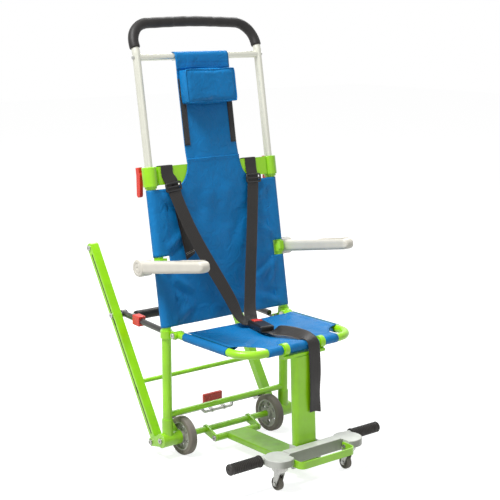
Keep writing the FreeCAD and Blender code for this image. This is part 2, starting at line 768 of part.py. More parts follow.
def foot_arm():
    """Box arm from the axle to the foot of the leg, with a hinge tube at each end."""
    half = arm_width / 2
    rear = arm_hinge_y
    front = foot_pivot_y()
    box_front = front + 34
    low = arm_z - arm_thick / 2
    high = arm_z + arm_thick / 2
    box = slab(-half, half, box_front, rear, low, high)
    box = box.makeFillet(4, [edge for edge in box.Edges if edge.BoundBox.YLength > 50])
    neck = slab(-half + 8, half - 8, front, box_front + 1, low + 2, high - 2)
    body = box.fuse([neck, rod(-arm_tube_half, arm_tube_half, rear, arm_z, knuckle_r),
                     rod(-half + 4, half - 4, front, arm_z, knuckle_r)]).removeSplitter()
    hollow = slab(-half + arm_wall, half - arm_wall, box_front + 8, rear - knuckle_r, low + arm_wall, high - arm_wall)
    body = body.cut(hollow)
    body = body.cut(rod(-arm_tube_half - 1, arm_tube_half + 1, rear, arm_z, arm_pin_r + running_gap))
    return body.cut(rod(-half, half, front, arm_z, pin_r + open_gap))


# ---- castors ----------------------------------------------------------------------------------
def castor_fork():
    """Stem, ball race and two arms that trail behind the swivel line."""
    x = pad_half
    race_top = pad_bottom - 5 - 0.4
    race_low = race_top - 12
    body = post(x, castor_y, race_low, race_top, race_r)
    body = body.fuse([post(x, castor_y, race_low, pad_top - 12, stem_r), post(x, castor_y, race_low - 4, race_low, 20)])
    axle_y = castor_y + castor_trail
    gap = castor_width / 2 + 1
    for low in (x - gap - 3, x + gap):
        body = body.fuse(link_plate(low, low + 3, (castor_y, race_low - 3, 12), (axle_y, castor_r, 8)))
    body = body.removeSplitter()
    body = body.cut(slab(x - gap, x + gap, castor_y - 40, castor_y + 40, 0, race_low - 4))
    return body.cut(rod(x - 20, x + 20, axle_y, castor_r, castor_axle_r + 0.02))


def castor_axle():
    gap = castor_width / 2 + 4
    axle = rod(pad_half - gap, pad_half + gap, castor_y + castor_trail, castor_r, castor_axle_r)
    ends = [rod(pad_half + low, pad_half + low + 3, castor_y + castor_trail, castor_r, 6) for low in (-gap - 3, gap)]
    return axle.fuse(ends).removeSplitter()


def castor_wheel():
    y = castor_y + castor_trail
    wheel = rod(pad_half - castor_width / 2, pad_half + castor_width / 2, y, castor_r, castor_r)
    wheel = wheel.makeFillet(3, [edge for edge in wheel.Edges if isinstance(edge.Curve, Part.Circle)])
    for side in (-1, 1):
        face = pad_half + side * castor_width / 2
        low = min(face, face - side * 2)
        dish = rod(low, low + 2, y, castor_r, castor_r - 6).cut(rod(low, low + 2, y, castor_r, 8))
        wheel = wheel.cut(dish)
    return wheel.cut(rod(pad_half - 20, pad_half + 20, y, castor_r, castor_axle_r + running_gap))


# ---- rear wheels ------------------------------------------------------------------------------
def tyre():
    half = tyre_width / 2
    body = rod(wheel_half - half, wheel_half + half, 0, wheel_r, wheel_r)
    body = body.makeFillet(6, [edge for edge in body.Edges if isinstance(edge.Curve, Part.Circle)])
    return body.cut(rod(wheel_half - half - 1, wheel_half + half + 1, 0, wheel_r, rim_r))


def wheel_hub():
    """Rim, web with lightening holes, and the boss that runs on the axle bolt."""
    half = tyre_width / 2 - 1
    body = rod(wheel_half - half, wheel_half + half, 0, wheel_r, rim_r)
    for side in (-1, 1):
        face = wheel_half + side * half
        inward = wheel_half + side * 4
        low = min(face, inward)
        dish = rod(low, low + abs(face - inward), 0, wheel_r, rim_r - 5)
        body = body.cut(dish.cut(rod(low, low + abs(face - inward), 0, wheel_r, boss_r)))
    body = body.fuse(rod(wheel_half - boss_width / 2, wheel_half + boss_width / 2, 0, wheel_r, boss_r))
    holes = []
    for place in range(6):
        turn = math.radians(60 * place + 30)
        holes.append(rod(wheel_half - 20, wheel_half + 20, 29 * math.cos(turn), wheel_r + 29 * math.sin(turn), 7))
    body = body.removeSplitter().cut(holes)
    return body.cut(rod(wheel_half - 40, wheel_half + 40, 0, wheel_r, axle_r + running_gap))


# ---- tracks -----------------------------------------------------------------------------------
def track_rail():
    """Channel open towards the stairs, with a groove down its outer side."""
    low = -rail_rear - 4
    high = track_length + rail_rear + 4
    half = rail_width / 2
    body = slab(frame_half - half, frame_half + half, -rail_front, rail_rear, low, high)
    body = body.makeFillet(9, [edge for edge in body.Edges if edge.BoundBox.XLength > rail_width - 1])
    inner = half - rail_wall
    body = body.cut(slab(frame_half - inner, frame_half + inner, rail_web - rail_front, rail_rear + 1, low - 1, high + 1))
    body = body.cut(slab(frame_half + half - 2.5, frame_half + half + 1, -5, -2, 24, track_length - 24))
    for along in (track_cross_at - 26, strut_at - 26):
        body = body.cut(slab(frame_half + half - 2, frame_half + half + 1, -7.5, 0.5, along - 12, along + 12))
    for along in (0, strut_at, track_length):
        r = pin_r + running_gap if along == 0 else pin_r + 0.02
        body = body.cut(rod(frame_half - 30, frame_half + 30, 0, along, r))
    return on_track(body)


def track_belt():
    """Toothed belt round both pulleys; its rear run stands out of the channel."""
    half = belt_width / 2
    inner = pulley_r + 0.1
    outer = inner + belt_thick

    def loop(r, x0, x1):
        body = slab(x0, x1, -r, r, 0, track_length)
        return body.fuse([rod(x0, x1, 0, 0, r), rod(x0, x1, 0, track_length, r)]).removeSplitter()
    belt = loop(outer, frame_half - half, frame_half + half)
    return on_track(belt.cut(loop(inner, frame_half - half - 1, frame_half + half + 1)))


def pulley(along, bore_gap):
    half = belt_width / 2 + 0.5
    body = rod(frame_half - half, frame_half + half, 0, along, pulley_r)
    return on_track(body.cut(rod(frame_half - 20, frame_half + 20, 0, along, pin_r + bore_gap)))


def track_cross_tube():
    reach = frame_half - rail_width / 2
    tube = rod(-reach, reach, 0, track_cross_at, track_cross_r)
    return on_track(tube.cut(rod(-reach, reach, 0, track_cross_at, track_cross_r - 1.5)))


def track_pins():
    """Upper pulley pins, and pins with a spacer collar for the rear handle."""
    outside = frame_half + rail_width / 2
    inside = frame_half - rail_width / 2
    upper = headed_bolt(inside - 4, outside, 0, track_length, pin_r)
    strut = headed_bolt(strut_half - strut_r - 1, outside, 0, strut_at, pin_r)
    strut = strut.fuse(rod(strut_half + strut_r + side_gap, inside, 0, strut_at, 9)).removeSplitter()
    strut = strut.cut(slab(frame_half - 10, frame_half + 10, -20, 20, strut_at - 20, strut_at + 20))
    return Part.makeCompound([on_track(shape) for shape in (upper, mirrored(upper))]
                             + [on_track(solid) for whole in (strut, mirrored(strut)) for solid in whole.Solids])


# ---- rear carrying handle ---------------------------------------------------------------------
def strut_pin():
    return track_point(strut_at)


def strut_angle():
    """Direction of the arms at rest, from the pins to the studs, as (y, z)."""
    pin_y, pin_z = strut_pin()
    length = math.hypot(stud_y - pin_y, stud_z - pin_z)
    return (stud_y - pin_y) / length, (stud_z - pin_z) / length, length


def strut_point(forward):
    pin_y, pin_z = strut_pin()
    way_y, way_z, _ = strut_angle()
    return pin_y + way_y * forward, pin_z + way_z * forward


def rear_handle():
    """Two arms on the tracks' pins, joined by a cross bar, each ending in an open cradle."""
    pin_y, pin_z = strut_pin()
    way_y, way_z, length = strut_angle()
    end = length - 26
    parts = []
    for side in SIDES.values():
        x = side * strut_half
        arm = Part.makeCylinder(strut_r, end, V(x, pin_y, pin_z), V(0, way_y, way_z))
        eye = rod(x - strut_r, x + strut_r, pin_y, pin_z, 12)
        cradle = prism_x([(stud_y - 15, stud_z - 12), (stud_y + 40, stud_z - 7), (stud_y + 40, stud_z - 1),
                          (stud_y + 20, stud_z - 2), (stud_y, stud_z - 3), (stud_y, stud_z + 4),
                          (stud_y - 12, stud_z + 4)], x - 4, x + 4)
        parts += [arm, eye, cradle]
    bar_y, bar_z = strut_point(rear_bar_back)
    body = rod(-strut_half, strut_half, bar_y, bar_z, rear_bar_r).fuse(parts).removeSplitter()
    cuts = []
    for side in SIDES.values():
        x = side * strut_half
        cuts.append(rod(x - 20, x + 20, pin_y, pin_z, pin_r + running_gap))
        cuts.append(rod(x - 20, x + 20, stud_y, stud_z, pin_r + open_gap))
    return body.cut(cuts)


def rear_grip():
    bar_y, bar_z = strut_point(rear_bar_back)
    reach = strut_half - strut_r - 8
    foam = rod(-reach, reach, bar_y, bar_z, rear_foam_r)
    return foam.cut(rod(-reach, reach, bar_y, bar_z, rear_bar_r + 0.05))


def release_collars():
    """Square collars that slide on the arms and free the cradles."""
    way_y, way_z, _ = strut_angle()
    y, z = strut_point(collar_back)
    half = collar_size / 2
    tall = collar_height / 2
    block = slab(strut_half - half, strut_half + half, -tall, tall, 0, collar_length)
    block = block.makeFillet(3, block.Edges).cut(post(strut_half, 0, -1, collar_length + 1, strut_r + running_gap))
    tilt = math.degrees(math.atan2(way_y, way_z))
    return pair(placed(block, tilt, y, z))


# ---- armrests ---------------------------------------------------------------------------------
def armrest():
    """Moulded rest with a round cap over its pivot and ribs near the tip."""
    length = armrest_length
    inner = armrest_inner
    outer = armrest_outer
    bar = link_plate(inner, outer, (armrest_back, armrest_at, armrest_r),
                     (armrest_back - length, armrest_at, armrest_tip_r))
    bar = bar.makeFillet(7, [edge for edge in bar.Edges if edge.BoundBox.XLength < 0.01])
    cap = rod(inner, outer + 2, armrest_back, armrest_at, armrest_cap_r)
    cap = cap.makeFillet(5, [edge for edge in cap.Edges if edge.BoundBox.XMin > outer
                             and isinstance(edge.Curve, Part.Circle)])
    body = bar.fuse(cap).removeSplitter()
    body = body.cut(rod(inner - 1, outer - 4, armrest_back, armrest_at, armrest_pin_r + running_gap))
    return leaned(body)


# ---- brake ------------------------------------------------------------------------------------
def brake_bar():
    """Rod across the hub castings with a shoe behind each tyre and an arm to the pedal."""
    reach = brake_half
    corners = [V(-reach, brake_y, brake_z), V(-crank_half - 8, brake_y, brake_z), V(-crank_half, crank_y, crank_z),
               V(crank_half, crank_y, crank_z), V(crank_half + 8, brake_y, brake_z), V(reach, brake_y, brake_z)]
    body = pipe(corners, [6, 6, 6, 6], brake_rod_r)
    away_y = brake_y / math.hypot(brake_y, brake_z - wheel_r)
    away_z = (brake_z - wheel_r) / math.hypot(brake_y, brake_z - wheel_r)
    for side in SIDES.values():
        x = side * wheel_half
        foot_y = brake_y + away_z * 20
        foot_z = brake_z - away_y * 20
        shoe = link_plate(x - 9, x + 9, (brake_y, brake_z, 8), (foot_y, foot_z, 5))
        body = body.fuse(shoe)
    for x in (-pedal_arm_x - 6, pedal_arm_x):
        body = body.fuse(link_plate(x, x + 6, (crank_y, crank_z, 7), (pedal_y, pedal_z - 8, 6)))
    return body.removeSplitter()


def brake_pedal():
    half = pedal_width / 2
    tall = pedal_height / 2
    block = slab(-half, half, pedal_y - 6, pedal_y + 6, pedal_z - tall, pedal_z + tall)
    block = block.makeFillet(3, block.Edges)
    for x in (-pedal_arm_x - 6.1, pedal_arm_x - 0.1):
        block = block.cut(link_plate(x, x + 6.2, (crank_y, crank_z, 7.1), (pedal_y, pedal_z - 8, 6.1)))
    return block


# ---- harness ----------------------------------------------------------------------------------
def strap_point(x, along, behind):
    """Point of a strap at a height measured up the lean from the sockets' lower ends."""
    y, z = lean_point(bracket_from + along, behind)
    return V(x, y, z)


def shoulder_strap(side):
    """From the cross plate down across the sitter to the buckle."""
    over_plate = bracket_to - bracket_from
    forward = V(0, -1, 0.17)
    upward = V(0, -0.5, 0.86)
    over = V(0, 0.17, 1)
    if side < 0:
        top_x, adjuster_x, chest_shift = -184, adjuster_right_x + 1, V(-20, -12, 0)
        chest = V(-62, -80, seat_z + 119)
        lap = V(-30, -108, seat_z + 38)
    else:
        top_x, adjuster_x, chest_shift = 149, adjuster_left_x - 1, V(8, 8, 0)
        chest = V(47, -60, seat_z + 99)
        lap = V(12, -106, seat_z + 38)
    route = [strap_point(top_x, over_plate + 0.6, 2), strap_point(top_x, over_plate + 1.1, -plate_front - 1.9),
             strap_point(top_x, 30, -plate_front - 1.6), strap_point(adjuster_x, 2.5, -22.8),
             strap_point(adjuster_x, -16, -23.4)]
    route += [route[-1] + (chest - route[-1]) * 0.43 + chest_shift, chest, lap]
    faces = [over, V(0, -0.7, 0.7), forward, forward, forward, forward, V(0, -1, 0.3), upward]
    return webbing(route, faces, webbing_wide)


def shoulder_straps():
    """Both straps and the right one's loose tail."""
    tail_route = [strap_point(-160, -23.5, -19.9), strap_point(-150, -106.7, -19.9), strap_point(-132, -225.2, -19.5)]
    tail = webbing(tail_route, [V(0, -1, 0.17)] * 3, tail_wide)
    return Part.makeCompound([shoulder_strap(-1), shoulder_strap(1), tail])


def strap_adjusters():
    """Sliding frames that each shoulder strap runs through."""
    frames = []
    for x in (adjuster_right_x, adjuster_left_x):
        centre = strap_point(x, -7, -23.5)
        block = slab(x - 29, x + 29, -5.5, 5.5, -12, 12)
        block = block.makeFillet(2, [edge for edge in block.Edges if edge.BoundBox.YLength > 10])
        block = block.cut(slab(x - 24, x + 24, -3.4, 3.4, -20, 20))
        frames.append(placed(block, recline, centre.y, centre.z))
    return Part.makeCompound(frames)


def on_buckle(shape):
    moved = shape.copy()
    moved.Placement = FreeCAD.Placement(V(buckle_x, buckle_y, seat_top() + 1.0),
                                        FreeCAD.Rotation(V(0, 0, 1), -buckle_yaw))
    return moved


def seat_top():
    return seat_z + seat_tube_r + soft_gap + cloth


def buckle_body():
    body = slab(-24, 24, -62, 34, 0, 20)
    body = body.makeFillet(5, body.Edges)
    well = slab(-15.3, 15.3, 6, 28, 12, 30)
    mouth = slab(-16, 16, 20, 40, 4, 8.2)
    return on_buckle(body.cut(well).cut(mouth))


def buckle_button():
    block = slab(-15, 15, 6.3, 27.7, 15.2, 22)
    return on_buckle(block.makeFillet(1.5, block.Edges))


def buckle_tongue():
    plate = slab(-15.5, 15.5, 21, 52, 4.6, 7.6)
    slot = slab(-12, 12, 43, 47, 4, 9)
    return on_buckle(plate.cut(slot))


def lap_strap():
    """From the buckle over the seat's front rail, hanging in front of the leg."""
    top = seat_top() + 2.0
    front = seat_front()
    upward = V(0, 0, 1)
    route = [V(-23, buckle_y - 61.4, top + 1), V(-25, buckle_y - 75, top + 2), V(-14, front + 91, top + 2),
             V(8, front + 58, top + 1), V(26, front + 26, top),
             V(30, front, top + 1.5), V(30, front - 17, seat_z + 10), V(30, front - 28, seat_z - 12),
             V(30, front - 29, 193)]
    faces = [upward] * 5 + [V(0, -0.25, 1), V(0, -1, 0.6), V(0, -1, 0.05), V(0, -1, 0)]
    return webbing(route, faces, tail_wide)


# ---- the chair --------------------------------------------------------------------------------
def all_nodes():
    nodes = {
        "back_tubes": back_tubes(),
        "lower_cross_tube": lower_cross_tube(),
        "axle_tube": axle_tube(),
        "hub_castings": pair(hub_casting()),
        "hub_bolts": hub_bolts(),
        "handle_sockets": leaned(pair(handle_socket())),
        "cross_plate": leaned(cross_plate()),
        "seat_hinge_lugs": pair(seat_lug()),
        "seat_hinge_bolts": pair(seat_hinge_bolt()),
        "armrest_bosses": leaned(pair(armrest_boss())),
        "back_sling": leaned(back_sling()),
        "foot_arm_pins": foot_arm_pins(),
        "handle_tube": leaned(handle_tube()),
        "handle_grip": leaned(handle_grip()),
        "handle_crossbar": leaned(handle_crossbar()),
        "crossbar_screws": leaned(crossbar_screws()),
        "head_panel": leaned(head_panel()),
        "head_pillow": leaned(head_pillow()),
        "seat_frame": seat_frame(),
        "seat_sling": seat_sling(),
        "leg_tube": leg_tube(),
        "leg_yoke": leg_yoke(),
        "foot_bar": foot_bar(),
        "step_loop": step_loop(),
        "step_bolts": step_bolts(),
        "foot_grip_tubes": foot_grip_tubes(),
        "foot_grips": foot_grips(),
        "foot_pivot_pin": foot_pivot_pin(),
        "foot_arm": foot_arm(),
        "track_rails": pair(track_rail()),
        "track_belts": pair(track_belt()),
        "track_cross_tube": track_cross_tube(),
        "track_pins": track_pins(),
        "upper_pulleys": pair(pulley(track_length, running_gap)),
        "lower_pulleys": pair(pulley(0.0, running_gap)),
        "rear_handle": rear_handle(),
        "rear_grip": rear_grip(),
        "release_collars": release_collars(),
        "brake_bar": brake_bar(),
        "brake_pedal": brake_pedal(),
        "shoulder_straps": shoulder_straps(),
        "strap_adjusters": strap_adjusters(),
        "buckle_body": buckle_body(),
        "buckle_button": buckle_button(),
        "buckle_tongue": buckle_tongue(),
        "lap_strap": lap_strap(),
    }
    for name, side in SIDES.items():
        nodes["latch_lever_" + name] = on_side(leaned(latch_lever()), side)
        nodes["castor_fork_" + name] = on_side(castor_fork(), side)
        nodes["castor_axle_" + name] = on_side(castor_axle(), side)
        nodes["castor_wheel_" + name] = on_side(castor_wheel(), side)
        nodes["tyre_" + name] = on_side(tyre(), side)
        nodes["wheel_hub_" + name] = on_side(wheel_hub(), side)
        nodes["armrest_" + name] = on_side(armrest(), side)
    return nodes


def middle_y(nodes):
    boxes = [shape.BoundBox for shape in nodes.values()]
    return (min(box.YMin for box in boxes) + max(box.YMax for box in boxes)) / 2


chair = all_nodes()
shift_y = -middle_y(chair)
os.makedirs("parts", exist_ok=True)
for node, shape in chair.items():
    shape.translated(V(0, shift_y, 0)).exportStep("parts/" + node + ".step")
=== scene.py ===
"""Stair chair: cloth, webbing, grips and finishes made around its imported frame.

Sizes inside the functions are millimetres in the chair's own working frames: Y from the rear
wheels' axle, and for the back also a frame that leans with it.  Pieces come out in metres.
"""
import json
import math

import bmesh
import bpy
from bpy.props import FloatProperty, FloatVectorProperty, IntProperty, PointerProperty
from mathutils import Matrix, Vector, noise


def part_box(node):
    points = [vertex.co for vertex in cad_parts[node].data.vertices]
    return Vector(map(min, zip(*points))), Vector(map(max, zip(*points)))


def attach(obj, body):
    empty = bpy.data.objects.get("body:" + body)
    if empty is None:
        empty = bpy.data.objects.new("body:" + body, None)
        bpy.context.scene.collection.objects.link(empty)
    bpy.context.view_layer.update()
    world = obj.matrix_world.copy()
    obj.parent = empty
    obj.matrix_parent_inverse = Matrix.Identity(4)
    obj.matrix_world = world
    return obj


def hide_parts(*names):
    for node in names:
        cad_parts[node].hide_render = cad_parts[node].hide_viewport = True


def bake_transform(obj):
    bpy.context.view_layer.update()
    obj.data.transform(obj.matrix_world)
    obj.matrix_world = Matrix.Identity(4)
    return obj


bl_info = {
    "name": "Stair Chair",
    "version": (1, 0, 0),
    "blender": (4, 5, 0),
    "location": "View3D > Sidebar > Stair Chair",
    "description": "Makes the cloth, webbing, grips and finishes of a folding stair chair",
    "category": "Add Mesh",
}

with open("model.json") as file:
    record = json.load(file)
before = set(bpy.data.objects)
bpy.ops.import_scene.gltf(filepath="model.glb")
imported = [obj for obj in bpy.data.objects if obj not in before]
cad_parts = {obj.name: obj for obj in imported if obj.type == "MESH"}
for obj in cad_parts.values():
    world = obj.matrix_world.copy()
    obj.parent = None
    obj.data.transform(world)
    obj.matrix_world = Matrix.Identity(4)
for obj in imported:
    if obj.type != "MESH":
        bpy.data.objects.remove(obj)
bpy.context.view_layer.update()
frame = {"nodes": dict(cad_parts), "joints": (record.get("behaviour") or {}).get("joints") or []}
JOINTS = {joint["name"]: joint for joint in frame["joints"]}

MM = 0.001
AXLE = JOINTS["wheel_spin_left"]["pos_m"][1] / MM    # where the working frame's y = 0 lies

# ---- the frame's own sizes, in millimetres -----------------------------------------------------
LEAN = math.radians(9.5)
BEND_Z = 425.0
TRACK_ANGLE = math.radians(32.0)
TRACK_Y, TRACK_Z, TRACK_LENGTH = 60.0, 42.0, 679.0
TUBE_X, TUBE_R = 240.0, 15.0
SLING_FROM, SLING_TO, NECK_TOP = 4.0, 432.0, 512.0
SHOULDER_X, NECK_X = 165.0, 104.0
CUT_FROM, CUT_TO, CUT_X = 174.0, 224.0, 210.0
CROSSBAR_AT, CROSSBAR_R = 841.0, 11.0
SEAT_X, SEAT_Z, SEAT_R = 218.0, 408.0, 12.5
SEAT_FRONT, SEAT_REAR = -366.0, -72.0
NOTCH = 80.0
GRIP_Y, GRIP_Z = -390.0, 92.0
PLATE_FRONT = 14.5


def at(x, y, z):
    """Point in the row frame from millimetres in the working frame."""
    return Vector((x, y + AXLE, z)) * MM


def lean(x, behind, along):
    """Point from the back's leaning frame: along runs up the lean, behind is away from the sitter."""
    return at(x, along * math.sin(LEAN) + behind * math.cos(LEAN),
              BEND_Z + along * math.cos(LEAN) - behind * math.sin(LEAN))


def on_track(x, rear, along):
    """Point from the track's frame: along runs up the rail from its lower pivot."""
    return at(x, TRACK_Y + along * math.sin(TRACK_ANGLE) + rear * math.cos(TRACK_ANGLE),
              TRACK_Z + along * math.cos(TRACK_ANGLE) - rear * math.sin(TRACK_ANGLE))


def span(first, last, count):
    """Evenly spaced numbers from first to last."""
    return [first + (last - first) * step / (count - 1) for step in range(count)]


def smooth_step(value):
    value = min(max(value, 0.0), 1.0)
    return value * value * (3 - 2 * value)


# ---- colours and materials ---------------------------------------------------------------------
def linear(code):
    """sRGB hex code to linear red, green and blue."""
    values = [int(code[place:place + 2], 16) / 255 for place in (0, 2, 4)]
    return tuple(v / 12.92 if v <= 0.04045 else ((v + 0.055) / 1.055) ** 2.4 for v in values)


def add(tree, kind, feeds=None, **settings):
    """Adds a node, sets it, and links or fills its inputs."""
    node = tree.nodes.new(kind)
    for name, value in settings.items():
        setattr(node, name, value)
    for socket, value in (feeds or {}).items():
        if isinstance(value, bpy.types.NodeSocket):
            tree.links.new(value, node.inputs[socket])
        else:
            node.inputs[socket].default_value = value
    return node


def per(millimetres):
    """Noise scale whose grains are this wide, on coordinates in metres."""
    return 1000.0 / millimetres


def waves_per(millimetres):
    """Wave texture scale whose bands repeat at this width, on coordinates in metres."""
    return math.tau / 20.0 * 1000.0 / millimetres


def shade(colour, factor):
    return tuple(min(channel * factor, 1.0) for channel in colour) + (1.0,)


def start_material(name, roughness, metallic=0.0, **shader):
    """Material with its shader's constant values set, and the nodes to build on."""
    material = bpy.data.materials.new(name)
    material.use_nodes = True
    tree = material.node_tree
    surface = tree.nodes["Principled BSDF"]
    surface.inputs["Roughness"].default_value = roughness
    surface.inputs["Metallic"].default_value = metallic
    for socket, value in shader.items():
        surface.inputs[socket.replace("_", " ")].default_value = value
    coordinates = add(tree, "ShaderNodeTexCoord")
    return material, tree, surface, coordinates


def blotches(tree, where, size, low, high, detail=3.0):
    """Slow noise mapped to a share from low to high."""
    grain = add(tree, "ShaderNodeTexNoise", {"Vector": where, "Scale": per(size), "Detail": detail})
    return add(tree, "ShaderNodeMapRange", {"Value": grain.outputs["Fac"], "From Min": 0.3, "From Max": 0.7,
                                            "To Min": low, "To Max": high}).outputs["Result"]


def mixed(tree, share, first, second):
    """Colour between two, by a share."""
    node = add(tree, "ShaderNodeMix", data_type="RGBA")
    tree.links.new(share, node.inputs["Factor"])
    for socket, value in ((node.inputs[6], first), (node.inputs[7], second)):
        if isinstance(value, bpy.types.NodeSocket):
            tree.links.new(value, socket)
        else:
            socket.default_value = value
    return node.outputs[2]


def bumped(tree, surface, height, strength, depth):
    """Bump of a real depth in millimetres on the surface."""
    bump = add(tree, "ShaderNodeBump", {"Height": height, "Strength": strength, "Distance": depth * MM})
    tree.links.new(bump.outputs["Normal"], surface.inputs["Normal"])


def scuffs(tree, where, amount):
    """Sparse streaked marks that handling leaves, as a share."""
    stretch = add(tree, "ShaderNodeMapping", {"Vector": where, "Scale": (3.0, 1.0, 0.35)})
    grain = add(tree, "ShaderNodeTexNoise", {"Vector": stretch.outputs[0], "Scale": per(9.0), "Detail": 6.0,
                                             "Roughness": 0.65})
    return add(tree, "ShaderNodeMapRange", {"Value": grain.outputs["Fac"], "From Min": 0.60, "From Max": 0.76,
                                            "To Min": 0.0, "To Max": amount}).outputs["Result"]


def floor_dust(tree, where, amount):
    """Share that grows towards the ground, where a chair on wheels picks up dust."""
    split = add(tree, "ShaderNodeSeparateXYZ", {"Vector": where})
    low = add(tree, "ShaderNodeMapRange", {"Value": split.outputs["Z"], "From Min": 0.22, "From Max": 0.0,
                                           "To Min": 0.0, "To Max": 1.0})
    patchy = blotches(tree, where, 22.0, 0.25, 1.0, 5.0)
    return add(tree, "ShaderNodeMath", {0: low.outputs[0], 1: patchy}, operation="MULTIPLY").outputs[0], amount


def dusted(tree, where, colour, amount):
    share, amount = floor_dust(tree, where, amount)
    scaled = add(tree, "ShaderNodeMath", {0: share, 1: amount}, operation="MULTIPLY").outputs[0]
    return mixed(tree, scaled, colour, linear("6E675A") + (1.0,))


def powder_coat(name, colour, grain_mm, depth):
    """Powder-coated steel: an even satin skin with orange peel, paler where it is thin, marked by handling."""
    material, tree, surface, coordinates = start_material(name, 0.36, Coat_Weight=0.4, Coat_Roughness=0.28)
    where = coordinates.outputs["Object"]
    tone = mixed(tree, blotches(tree, where, 70.0, 0.0, 1.0), shade(colour, 0.92), shade(colour, 1.08))
    marked = mixed(tree, scuffs(tree, where, 0.35), tone, shade(colour, 0.62))
    tree.links.new(dusted(tree, where, marked, 0.35), surface.inputs["Base Color"])
    peel = add(tree, "ShaderNodeTexNoise", {"Vector": where, "Scale": per(grain_mm), "Detail": 2.0})
    tree.links.new(blotches(tree, where, 18.0, 0.28, 0.44), surface.inputs["Roughness"])
    bumped(tree, surface, peel.outputs["Fac"], 0.35, depth)
    return material


def anodised(name, colour):
    """Satin anodised aluminium tube: soft metal gloss with drawing lines along the tube."""
    material, tree, surface, coordinates = start_material(name, 0.36, 0.55)
    where = coordinates.outputs["Object"]
    lines = add(tree, "ShaderNodeMapping", {"Vector": where, "Scale": (1.0, 1.0, 0.02)})
    drawn = add(tree, "ShaderNodeTexNoise", {"Vector": lines.outputs[0], "Scale": per(1.6), "Detail": 4.0})
    tone = mixed(tree, drawn.outputs["Fac"], shade(colour, 0.90), shade(colour, 1.05))
    tree.links.new(mixed(tree, scuffs(tree, where, 0.3), tone, shade(colour, 0.7)), surface.inputs["Base Color"])
    tree.links.new(blotches(tree, where, 30.0, 0.30, 0.44), surface.inputs["Roughness"])
    bumped(tree, surface, drawn.outputs["Fac"], 0.12, 0.05)
    return material


def zinc_plate(name, colour):
    """Zinc-plated steel: bright grey metal with faint clouding from the plating bath."""
    material, tree, surface, coordinates = start_material(name, 0.28, 0.9)
    where = coordinates.outputs["Object"]
    tone = mixed(tree, blotches(tree, where, 7.0, 0.0, 1.0, 5.0), shade(colour, 0.82), shade(colour, 1.12))
    tree.links.new(dusted(tree, where, tone, 0.4), surface.inputs["Base Color"])
    tree.links.new(blotches(tree, where, 5.0, 0.2, 0.42), surface.inputs["Roughness"])
    fine = add(tree, "ShaderNodeTexNoise", {"Vector": where, "Scale": per(1.2), "Detail": 3.0})
    bumped(tree, surface, fine.outputs["Fac"], 0.2, 0.05)
    return material


def moulded(name, colour, roughness, grain_mm, depth, dust=0.1, variation=0.06, front=None):
    """Moulded plastic or rubber: spark-eroded grain from the mould, slightly uneven gloss.
    front is a darker colour painted on the faces towards the sitter's feet, as painted shade."""
    material, tree, surface, coordinates = start_material(name, roughness)
    where = coordinates.outputs["Object"]
    tone = mixed(tree, blotches(tree, where, 34.0, 0.0, 1.0), shade(colour, 1 - variation), shade(colour, 1 + variation))
    marked = mixed(tree, scuffs(tree, where, 0.22), tone, shade(colour, 0.75))
    if front:
        # painted shade: faces turned towards the front (-Y) take the darker front colour
        facing = add(tree, "ShaderNodeSeparateXYZ", {"Vector": coordinates.outputs["Normal"]})
        painted_front_shade = add(tree, "ShaderNodeMapRange", {"Value": facing.outputs["Y"], "From Min": -0.75, "From Max": -0.95})
        marked = mixed(tree, painted_front_shade.outputs[0], marked, shade(front, 1.0))
    tree.links.new(dusted(tree, where, marked, dust), surface.inputs["Base Color"])
    grain = add(tree, "ShaderNodeTexNoise", {"Vector": where, "Scale": per(grain_mm), "Detail": 3.0})
    tree.links.new(blotches(tree, where, 12.0, roughness - 0.06, roughness + 0.08), surface.inputs["Roughness"])
    bumped(tree, surface, grain.outputs["Fac"], 0.4, depth)
    return material


def foam_skin(name, colour):
    """Closed-cell foam sleeve: matt black skin with open pores, browner where hands have polished it."""
    material, tree, surface, coordinates = start_material(name, 0.5, Specular_IOR_Level=0.36)
    where = coordinates.outputs["Object"]
    tone = mixed(tree, blotches(tree, where, 45.0, 0.0, 1.0, 4.0), shade(colour, 0.7), shade(colour, 1.25))
    pores = add(tree, "ShaderNodeTexVoronoi", {"Vector": where, "Scale": per(1.8)})
    tree.links.new(tone, surface.inputs["Base Color"])
    tree.links.new(blotches(tree, where, 25.0, 0.42, 0.6), surface.inputs["Roughness"])
    bumped(tree, surface, pores.outputs["Distance"], 0.5, 0.25)
    return material


def threads(tree, coordinates, warp_mm, weft_mm):
    """Height of a plain weave that follows the cloth's own UV map, in metres."""
    where = coordinates.outputs["UV"]
    warp = add(tree, "ShaderNodeTexWave", {"Vector": where, "Scale": waves_per(warp_mm)}, bands_direction="X")
    weft = add(tree, "ShaderNodeTexWave", {"Vector": where, "Scale": waves_per(weft_mm)}, bands_direction="Y")
    return add(tree, "ShaderNodeMath", {0: warp.outputs["Fac"], 1: weft.outputs["Fac"]}, operation="ADD").outputs[0]


